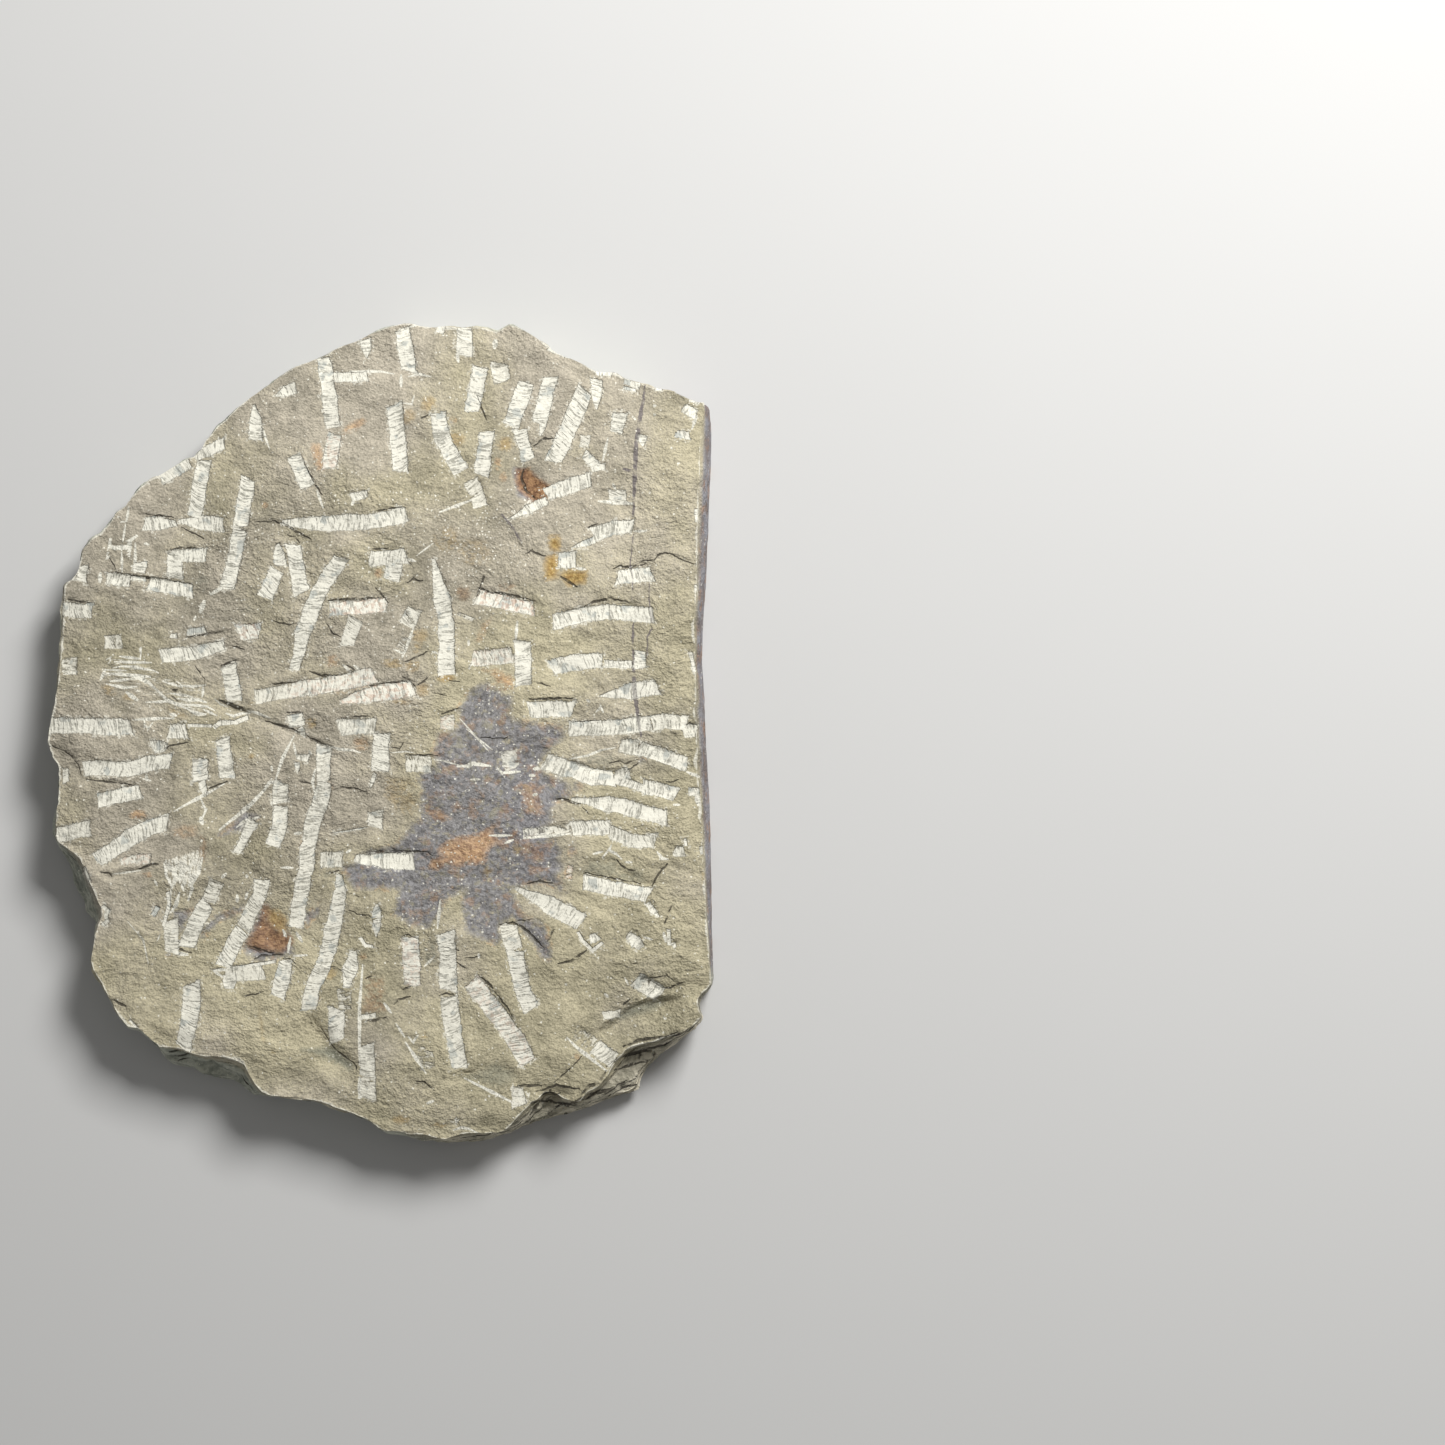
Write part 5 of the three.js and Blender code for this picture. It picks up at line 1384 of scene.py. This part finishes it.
def line_mark_group():
    """A thin line, such as a crack, painted shadow along a ledge's lip, or a vein: full inside its
    half-width, which grain moves to and fro, and fading and breaking off here and there along its way."""
    write, given = new_group("line mark", ("Place", "Form", "Point"), (), ("Cover",))
    _, right, half = given["Place"].parts()
    ends, _, _ = given["Form"].parts()
    shift = write.grain(given["Point"], "line sway").swing(1.3)
    outside = write.maths("MAXIMUM", abs(right + shift) - half, ends * -1.0)
    strength = write.grain(given["Point"], "line gaps").fade(0.25, 0.5)
    return write.group_of(Cover=outside.fade(0.2, -0.12) * strength)


def stain_group():
    """A stain that soaks in unevenly: the root of its strength plus noise, cut off at a soft threshold
    and thinned by the strength, with a fringe just outside where it gives out."""
    write, given = new_group("stain", ("Point",), ("Amount",), ("Cover", "Fringe"))
    point, amount = given["Point"], given["Amount"]
    coarse = write.grain(point, "stain")
    flecks = write.grain(point, "stain flecks")
    reached = amount ** 0.5 + coarse.swing(1.8) + flecks.swing(1.6)
    near = amount.fade(0.02, 0.3)
    cover = reached.fade(0.3, 0.8)
    return write.group_of(
        Cover=cover * (near * amount ** 0.8),
        Fringe=reached.fade(0.12, 0.4) * (1.0 - cover) * near,
    )


def bent_point(write, point):
    """Object coordinates pushed about by slow noise, so that the grain of the rock flows and turns."""
    push = write.plain_noise(write.scaled(point, [1 / BEND_SIZE] * 3), 1.0, output="Color")
    inputs = {0: push, 1: (BEND_REACH, BEND_REACH, 0), 2: point}
    return write.place("ShaderNodeVectorMath", inputs, operation="MULTIPLY_ADD")


def new_material(name):
    """A new material, the writer of its nodes, its shader, and Object coordinates."""
    material = bpy.data.materials.new(name)
    material.use_nodes = True
    write = NodeWriter(material.node_tree)
    shader = material.node_tree.nodes["Principled BSDF"]
    return material, write, shader, write.place("ShaderNodeTexCoord", {}, "Object")


def mudstone_material(colours, finish):
    """The rock: khaki-grey, paler on the crests of its small flakes and darker in the hollows, partly as
    painted shade, greener where it is freshly broken on the sides, with the stains, cracks, pale marks
    and veins over it in turn, among them painted shade, painted shadow, painted light and painted
    glints."""
    material, write, shader, point = new_material("dressed mudstone")
    bent = bent_point(write, point)
    across, along, _ = point.parts()

    def colour(name):
        return (*getattr(colours, name), 1.0)

    def tones(amount, name):
        return write.mix(amount, colour(name + "_dark"), colour(name + "_light"))

    def region(from_x, full_x, from_y, full_y):
        return across.fade(from_x * MM, full_x * MM) * along.fade(from_y * MM, full_y * MM)

    # The plain rock, and the broken rock of the side with its layers, seams and joint face. The stepped
    # side is painted paler as painted light, and the layers' hollows and the seams darker as painted
    # shade.
    hackle = write.grain(bent, "hackle")
    flakes = write.grain(bent, "flakes")
    crease = write.grain(bent, "creases").swing(2.0)
    grit = write.grain(point, "grit")
    # The tone follows the hackle and flakes that also make the bump: paler on the crests and darker in
    # the hollows, partly painted shade.
    tone = 0.5 + hackle.swing(0.35) + flakes.swing(0.3) + grit.swing(0.6) + write.attribute("slow_tone")
    warmth = write.attribute("warmth") + grit.swing(0.4) + (across - along) * 1.1
    tint = write.mix(warmth.fade(0.3, 0.72), colour("tint_grey"), colour("tint_olive"))
    rock = write.mix(1.0, tones(tone.fade(0.16, 0.84), "rock"), tint, "MULTIPLY")
    side = write.attribute("way_down")
    layers = write.grain(point, "layers")
    layered = (layers + hackle.swing(0.7) + flakes.swing(0.6)).fade(0.3, 0.7)
    # The stepped side faces away from the key light and is painted in paler colours: painted light.
    painted_lit_cliff = region(*CLIFF_SPAN)
    joint = region(*JOINT_SPAN)
    under = write.mix(painted_lit_cliff, tones(layered, "side"), tones(layered, "painted_lit_cliff"))
    # Dark fissures are painted nearly black where the side's layers are low, partly painted shade in
    # their hollows.
    under = write.mix(layers.fade(0.36, 0.33), under, colour("crack_and_shadow"))
    # Seams along the bedding of the stepped side: sunk into the bump and painted nearly black, partly a
    # painted shadow in them.
    level = write.maths("FRACT", write.attribute("seam_level"))
    broken = write.grain(point, "seam gaps").fade(0.38, 0.5)
    seam_and_shadow = abs(level - 0.5).fade(0.13, 0.05) * broken * painted_lit_cliff
    under = write.mix(seam_and_shadow * STRENGTHS["seam_and_shadow"], under, colour("crack_and_shadow"))
    rusty = write.grain(point, "rust")
    grimy = write.mix(flakes.fade(0.3, 0.7), colour("joint_face"), colour("manganese_light"))
    grimy = write.mix(rusty.fade(0.52, 0.66) * STRENGTHS["rust"], grimy, colour("rust_dark"))
    base = write.mix(side, rock, write.mix(joint, under, grimy))

    # The stains, with painted shade among them, and the dark cracks, partly painted shadow along the
    # lips of ledges.
    stain_tree = stain_group()
    mottle = write.grain(bent, "mottle").fade(0.34, 0.66)
    mossy = write.grain(bent, "moss").fade(0.54, 0.66)
    rusty = rusty.fade(0.5, 0.66)
    covers = {}
    # The shade stain is painted shade on the faces of ledges, partly the greener tone of a fresh break.
    for name, strength in STAIN_STRENGTHS.items():
        stain = write.use_group(stain_tree, Point=point, Amount=write.attribute(name))
        covers[name] = stain["Cover"] * strength
        paint = tones(mottle, name)
        if name == "manganese":
            fringe = stain["Fringe"] * rusty * STRENGTHS["rust"]
            base = write.mix(fringe, base, colour("rust_light"))
            paint = write.mix(rusty * STRENGTHS["rust"], paint, colour("rust_dark"))
            paint = write.mix(mossy * STRENGTHS["moss"], paint, colour("moss"))
        base = write.mix(covers[name], base, paint)
    line_tree = line_mark_group()
    # Cracks are painted nearly black: partly real cracks, partly painted shadow along the lips of
    # ledges.
    crack_and_shadow = write.use_group(line_tree, Point=point, **write.marks("crack_and_shadow"))["Cover"]
    base = write.mix(crack_and_shadow * STRENGTHS["crack_and_shadow"], base, colour("crack_and_shadow"))

    # The chisel's tracks and the scratches, the lower layer first.
    chisel_tree = chisel_mark_group()
    shared = {
        "Slow": write.grain(point, "track sway"),
        "Patches": write.grain(point, "track patches"),
        "Fine": write.grain(point, "track flecks"),
    }
    slate = write.grain(point, "slate").fade(0.58, 0.68)
    blush = write.grain(point, "rosy").fade(0.46, 0.62)
    blush = write.attribute("rosy") * blush
    marked = cut = ribs = dug = 0.0
    for kind, layer in (("track", "b"), ("track", "a"), ("scratch", "b"), ("scratch", "a")):
        mark = write.use_group(chisel_tree, **shared, **write.marks(kind, layer))
        cover, pale = mark["Cover"], mark["Pale"]
        paint = write.mix(pale, colour("chisel_grey"), colour("chisel_pale"))
        if kind == "track":
            paint = write.mix(slate * STRENGTHS["slate"], paint, colour("chisel_slate"))
            paint = write.mix(blush * STRENGTHS["rosy"], paint, colour("rosy"))
            base = write.mix(mark["Dust"] * STRENGTHS["dust"], base, colour("chisel_pale"))
            dug = write.maths("MAXIMUM", dug, mark["Dug"])
            ribs = write.maths("MAXIMUM", ribs, pale * cover)
            cut = write.maths("MAXIMUM", cut, cover)
        base = write.mix(cover, base, paint)
        marked = write.maths("MAXIMUM", marked, cover)
    vein = write.use_group(line_tree, Point=point, **write.marks("vein"))["Cover"]
    base = write.mix(vein * marked.between(0.8, 0.45), base, colour("vein"))

    # Bruised patches, the worn rim with a painted highlight along its edge, and the mica painted pale as
    # painted glints.
    patch = write.attribute("pale_patch")
    level_streaks = write.grain(point, "level streaks")
    upright_streaks = write.grain(bent, "upright streaks")
    upright = along.fade(UPRIGHT_FROM * MM, UPRIGHT_FULL * MM)
    streaks = upright.between(level_streaks, upright_streaks)
    patch = (patch + streaks.swing(2.0)).fade(0.52, 0.76) * patch.fade(0.05, 0.3)
    # The rim is painted pale: partly wear, partly a painted highlight along the edge.
    worn = write.attribute("rim_wear_and_highlight") + hackle.swing(0.8) + write.grain(point, "rim").swing(2.2)
    # The mica grains are painted pale: painted glints.
    glint = mica_glint_cover(write, point, finish.mica_spacing)
    for name, amount in (("patch", patch), ("rim", worn.fade(0.7, 1.0)), ("mica", glint)):
        base = write.mix(amount * STRENGTHS[name], base, colour("chisel_pale"))

    # The relief that is too fine for the mesh.
    lips = write.maths("MINIMUM", abs(crease), 0.16)
    heights = (
        (hackle, finish.hackle_bump), (flakes, finish.flake_bump),
        (lips, finish.crease_bump), (grit, finish.grit_bump),
    )
    relief = sum(height * (size / MM) for height, size in heights)
    calm = write.maths("MAXIMUM", cut, write.attribute("manganese") * 0.5)
    relief = relief * calm.between(1.0, 0.3) * write.attribute("rugged").between(0.7, 1.1)
    relief = relief + layers * side * (finish.layer_bump / MM) * (1.0 - joint)
    relief = relief + ribs * (finish.rib_bump / MM) - seam_and_shadow * side
    for depth, size in ((dug, finish.edge_bump), (crack_and_shadow, finish.crack_bump)):
        relief = relief - depth * (size / MM)
    bump = {"Strength": 1.0, "Distance": MM, "Height": relief}
    rough = marked.between(finish.rock_roughness, finish.chisel_roughness)
    rough = covers["manganese"].between(rough, finish.stain_roughness)
    look = {
        "Base Color": base,
        "Roughness": glint.between(rough, MICA_ROUGHNESS),
        "Specular IOR Level": ROCK_SPECULAR,
        "Normal": write.place("ShaderNodeBump", bump, "Normal"),
    }
    write.feed(shader, look)
    return material


def mica_glint_cover(write, point, spacing):
    """Where the mica grains lie, which are painted pale as painted glints: a few cells in a hundred of a
    random net, and more of them where the mesh says that the rock is rich in it."""
    inputs = {"Vector": write.scaled(point, [1 / spacing] * 3), "Scale": 1.0}
    cells = write.outputs(write.add("ShaderNodeTexVoronoi", inputs))
    picked, size, _ = cells["Color"].parts("ShaderNodeSeparateColor")
    rich = write.attribute("mica") * 0.4 + write.grain(point, "mica fields").swing(0.3)
    edge = MICA_HIDDEN - rich
    chosen = picked.fade(edge, edge + 0.02)
    spread = write.grain(point, "mica edges").swing(0.8)
    near = MICA_RADIUS + size * MICA_RADIUS_RANGE + spread - cells["Distance"]
    return near.fade(0.0, 0.08) * chosen


def floor_material(colour):
    """A plain matt pale paint with the faintest unevenness of tone."""
    material, write, shader, point = new_material("studio floor")
    darker = tuple(0.985 * each for each in colour)
    paint = write.mix(write.grain(point, "floor"), (*colour, 1.0), (*darker, 1.0))
    write.feed(shader, {"Base Color": paint, "Roughness": FLOOR_ROUGHNESS})
    return material


def length_value(name, description, default):
    """A length that a user may change, in metres."""
    return FloatProperty(
        name=name, description=description, default=default, min=0, subtype="DISTANCE",
        unit="LENGTH", precision=5,
    )


def colour_value(name, description, default):
    """A colour that a user may change."""
    return FloatVectorProperty(
        name=name, description=description, default=default, min=0, max=1, subtype="COLOR", size=3
    )


def share_value(name, description, default):
    """A number from 0 to 1 that a user may change."""
    return FloatProperty(
        name=name, description=description, default=default, min=0, max=1, subtype="FACTOR"
    )


class SlabShape(bpy.types.PropertyGroup):
    """The slab's fine shape."""

    grid_cells: IntProperty(
        name="Grid cells", description="Cells along each side of the upper face", default=240, min=8
    )
    side_rows: IntProperty(
        name="Side rows", description="Rows of faces from the rim to the foot", default=27, min=5
    )
    flake_step: length_value("Flake step", "Height of one small flake's edge", 0.5 * MM)
    layer_depth: length_value("Layer depth", "How far the side's layers stand in and out", 1.5 * MM)
    chip_depth: length_value("Chip depth", "How far small chips bite into the rim", 0.9 * MM)
    groove_depth: length_value("Groove depth", "Depth of the chisel's tracks", 0.42 * MM)


class SlabColours(bpy.types.PropertyGroup):
    """The rock's, the stains' and the marks' colours."""

    rock_dark: colour_value("Rock, dark", "Darker tone of the dressed face", (0.267, 0.245, 0.182))
    rock_light: colour_value("Rock, light", "Lighter tone of the dressed face", (0.64, 0.583, 0.455))
    tint_grey: colour_value("Tint, grey", "Cooler cast of parts of the face", (1.0, 0.985, 1.0))
    tint_olive: colour_value("Tint, olive", "Yellower cast of parts of the face", (1.0, 0.985, 0.865))
    side_dark: colour_value("Side, dark", "Darker tone of the broken side", (0.31, 0.325, 0.27))
    side_light: colour_value("Side, light", "Lighter tone of the broken side", (0.66, 0.67, 0.56))
    joint_face: colour_value("Joint face", "Brown-grey of the straight side", (0.2, 0.168, 0.155))
    chisel_pale: colour_value("Chisel, pale", "Bruised ribs of a track", (0.865, 0.836, 0.716))
    chisel_grey: colour_value("Chisel, grey", "Hollows between the ribs", (0.39, 0.375, 0.31))
    chisel_slate: colour_value("Chisel, slate", "Blue-grey parts of a track", (0.38, 0.41, 0.385))
    rosy: colour_value("Rosy", "Reddish specks in some tracks", (0.55, 0.31, 0.2))
    manganese_dark: colour_value("Manganese, dark", "Heart of the dark stain", (0.112, 0.112, 0.13))
    manganese_light: colour_value("Manganese, light", "Thin part of the dark stain", (0.3, 0.296, 0.318))
    rust_dark: colour_value("Rust, dark", "Deeper rust", (0.4, 0.22, 0.115))
    rust_light: colour_value("Rust, light", "Paler rust", (0.72, 0.45, 0.22))
    ochre_dark: colour_value("Ochre, dark", "Deeper ochre", (0.33, 0.2, 0.065))
    ochre_light: colour_value("Ochre, light", "Paler ochre", (0.55, 0.39, 0.15))
    brown_dark: colour_value("Brown, dark", "Deeper iron brown", (0.19, 0.098, 0.052))
    brown_light: colour_value("Brown, light", "Paler iron brown", (0.43, 0.25, 0.125))
    # Painted light: paler than the rock, so that the stepped side, turned from the key light, looks lit.
    painted_lit_cliff_dark: colour_value("Cliff, dark", "Darker tone of the stepped side", (0.37, 0.345, 0.26))
    painted_lit_cliff_light: colour_value("Cliff, light", "Lighter tone of the stepped side", (0.77, 0.71, 0.555))
    moss: colour_value("Moss", "Olive flecks in the dark stain", (0.34, 0.31, 0.2))
    # Painted shade: these lip colours darken the faces of ledges and hollows, partly the greener tone of
    # a fresh break.
    shade_dark: colour_value("Lip, dark", "Deeper tone of a broken lip", (0.09, 0.105, 0.088))
    shade_light: colour_value("Lip, light", "Paler tone of a broken lip", (0.22, 0.235, 0.19))
    vein: colour_value("Vein", "Purple-grey mineral vein", (0.15, 0.13, 0.14))
    # Nearly black, for cracks and for the side's fissures and seams, partly painted shadow along ledge
    # lips and in hollows.
    crack_and_shadow: colour_value("Crack", "Dust-dark inside of a crack", (0.055, 0.047, 0.035))


class SlabFinish(bpy.types.PropertyGroup):
    """How rough and how bumpy the rock is."""

    rock_roughness: share_value("Rock roughness", "Roughness of the dressed rock", 0.86)
    chisel_roughness: share_value("Track roughness", "Roughness of the bruised tracks", 0.78)
    stain_roughness: share_value("Stain roughness", "Roughness of the dark stain", 0.6)
    hackle_bump: length_value("Hackle bump", "Height of the finest flakes", 1.15 * MM)
    flake_bump: length_value("Flake bump", "Height of the small flakes", 1.7 * MM)
    layer_bump: length_value("Layer bump", "How far thin layers stand out of the side", 2.0 * MM)
    crease_bump: length_value("Crease bump", "Depth of the creases between flakes", 1.1 * MM)
    grit_bump: length_value("Grit bump", "Height of the grit", 0.42 * MM)
    rib_bump: length_value("Rib bump", "Height of the ribs in a track", 0.18 * MM)
    edge_bump: length_value("Edge bump", "Height of the lip beside a track", 0.1 * MM)
    crack_bump: length_value("Crack bump", "Depth of a crack", 0.4 * MM)
    mica_spacing: length_value("Mica spacing", "Distance between mica grains", 1.3 * MM)


class StageSettings(bpy.types.PropertyGroup):
    """The floor, the lights and the camera."""

    floor_size: length_value("Floor size", "Side of the square floor", 14.0)
    floor_colour: colour_value("Floor colour", "Paint of the floor", (0.62, 0.615, 0.6))
    frame_width: length_value("Frame width", "Width that the camera sees at the slab", 541.9 * MM)
    camera_distance: length_value("Camera distance", "From the slab's face to the camera", 1.7)
    camera_tilt: FloatProperty(
        name="Camera tilt", description="Lean of the view away from straight down, towards the foot",
        default=math.radians(3.5), subtype="ANGLE",
    )
    key_power: FloatProperty(
        name="Key power", description="Power of the large soft light", default=25.8, min=0, unit="POWER"
    )
    fill: FloatProperty(
        name="Fill", description="Strength of the even light from all round", default=0.2, min=0
    )


class MESH_OT_dressed_slab_add(bpy.types.Operator):
    """Build the slab with its chisel tracks, cracks and stains in place of the plain solid"""

    bl_idname = "mesh.dressed_slab_add"
    bl_label = "Dressed slab"

    def execute(self, context):
        scene = context.scene
        points, squares, triangles, way_down = slab_surface(scene.slab_shape)
        low, high = points.min(axis=0), points.max(axis=0)
        cad_low, cad_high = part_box("slab")
        shift = (np.array(cad_low + cad_high) / MM - low - high) / 2
        shift[2] = 0
        piece = write_mesh("dressed_slab", points + shift, squares, triangles)
        for name, marks, layers, lowest in (
            ("track", TRACKS, 2, MARKED_SIDE),
            ("scratch", plain_marks(SCRATCHES, SCRATCH_BREADTH), 2, MARKED_SIDE),
            ("crack_and_shadow", plain_marks(CRACKS, CRACK_OPENING), 1, CRACKED_SIDE),
            ("vein", plain_marks(VEINS), 1, MARKED_SIDE),
        ):
            store_marks(piece.data, name, marks, squares, triangles, points, way_down, layers, lowest)
        store_colours(piece.data, points, way_down, scene.slab_shape.chip_depth / MM)
        piece.data.materials.append(mudstone_material(scene.slab_colours, scene.slab_finish))
        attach(piece, "root")
        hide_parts("slab")
        scene["drawing_shift"] = shift * MM
        return {"FINISHED"}


def soft_light(name, place, aim, size, power):
    """A large square light that faces a point."""
    data = bpy.data.lights.new(name, "AREA")
    data.size = size
    data.energy = power
    light = bpy.data.objects.new(name, data)
    light.location = place
    light.rotation_euler = (Vector(aim) - Vector(place)).to_track_quat("-Z", "Y").to_euler()
    bpy.context.scene.collection.objects.link(light)
    return light


class SCENE_OT_slab_stage_add(bpy.types.Operator):
    """Set the slab on a plain floor under soft studio light, with the camera looking down on it"""

    bl_idname = "scene.slab_stage_add"
    bl_label = "Slab stage"

    def execute(self, context):
        scene = context.scene
        stage = scene.slab_stage
        half = stage.floor_size / 2
        mesh = bpy.data.meshes.new("floor")
        mesh.from_pydata(
            [(-half, -half, 0), (half, -half, 0), (half, half, 0), (-half, half, 0)], [], [(0, 1, 2, 3)]
        )
        floor = bpy.data.objects.new("floor", mesh)
        mesh.materials.append(floor_material(tuple(stage.floor_colour)))
        scene.collection.objects.link(floor)

        shift = Vector(scene["drawing_shift"])
        aim = Vector((FRAME_MIDDLE[0] * MM, FRAME_MIDDLE[1] * MM, THICKNESS * MM)) + shift
        lean = stage.camera_tilt
        away = Vector((0, -math.sin(lean), math.cos(lean))) * stage.camera_distance
        camera_data = bpy.data.cameras.new("camera")
        camera_data.sensor_fit = "HORIZONTAL"
        camera_data.angle = 2 * math.atan(stage.frame_width / 2 / stage.camera_distance)
        camera_data.clip_end = CAMERA_REACH
        camera = bpy.data.objects.new("camera", camera_data)
        camera.location = aim + away
        camera.rotation_euler = (lean, 0, 0)
        scene.collection.objects.link(camera)
        scene.camera = camera

        soft_light("key", KEY_PLACE, KEY_AIM, KEY_SIZE, stage.key_power)
        world = bpy.data.worlds.new("studio")
        world.use_nodes = True
        background = world.node_tree.nodes["Background"]
        background.inputs["Color"].default_value = (1, 1, 1, 1)
        background.inputs["Strength"].default_value = stage.fill
        scene.world = world
        scene.view_settings.view_transform = "Standard"
        return {"FINISHED"}


class VIEW3D_PT_mudstone(bpy.types.Panel):
    """Sizes, colours and steps of the slab"""

    bl_label = "Mudstone slab"
    bl_idname = "VIEW3D_PT_mudstone"
    bl_space_type = "VIEW_3D"
    bl_region_type = "UI"
    bl_category = "Mudstone"

    def draw(self, context):
        scene = context.scene
        for settings in (scene.slab_shape, scene.slab_colours, scene.slab_finish, scene.slab_stage):
            column = self.layout.column()
            for name in settings.__annotations__:
                column.prop(settings, name)
        self.layout.operator(MESH_OT_dressed_slab_add.bl_idname)
        self.layout.operator(SCENE_OT_slab_stage_add.bl_idname)


GROUPS = {
    "slab_shape": SlabShape,
    "slab_colours": SlabColours,
    "slab_finish": SlabFinish,
    "slab_stage": StageSettings,
}
CLASSES = (
    *GROUPS.values(),
    MESH_OT_dressed_slab_add,
    SCENE_OT_slab_stage_add,
    VIEW3D_PT_mudstone,
)


def register():
    for each in CLASSES:
        bpy.utils.register_class(each)
    for name, group in GROUPS.items():
        setattr(bpy.types.Scene, name, PointerProperty(type=group))


def unregister():
    for name in GROUPS:
        delattr(bpy.types.Scene, name)
    for each in reversed(CLASSES):
        bpy.utils.unregister_class(each)


def main():
    register()
    bpy.ops.mesh.dressed_slab_add()
    bpy.ops.scene.slab_stage_add()


if __name__ == "__main__":
    main()
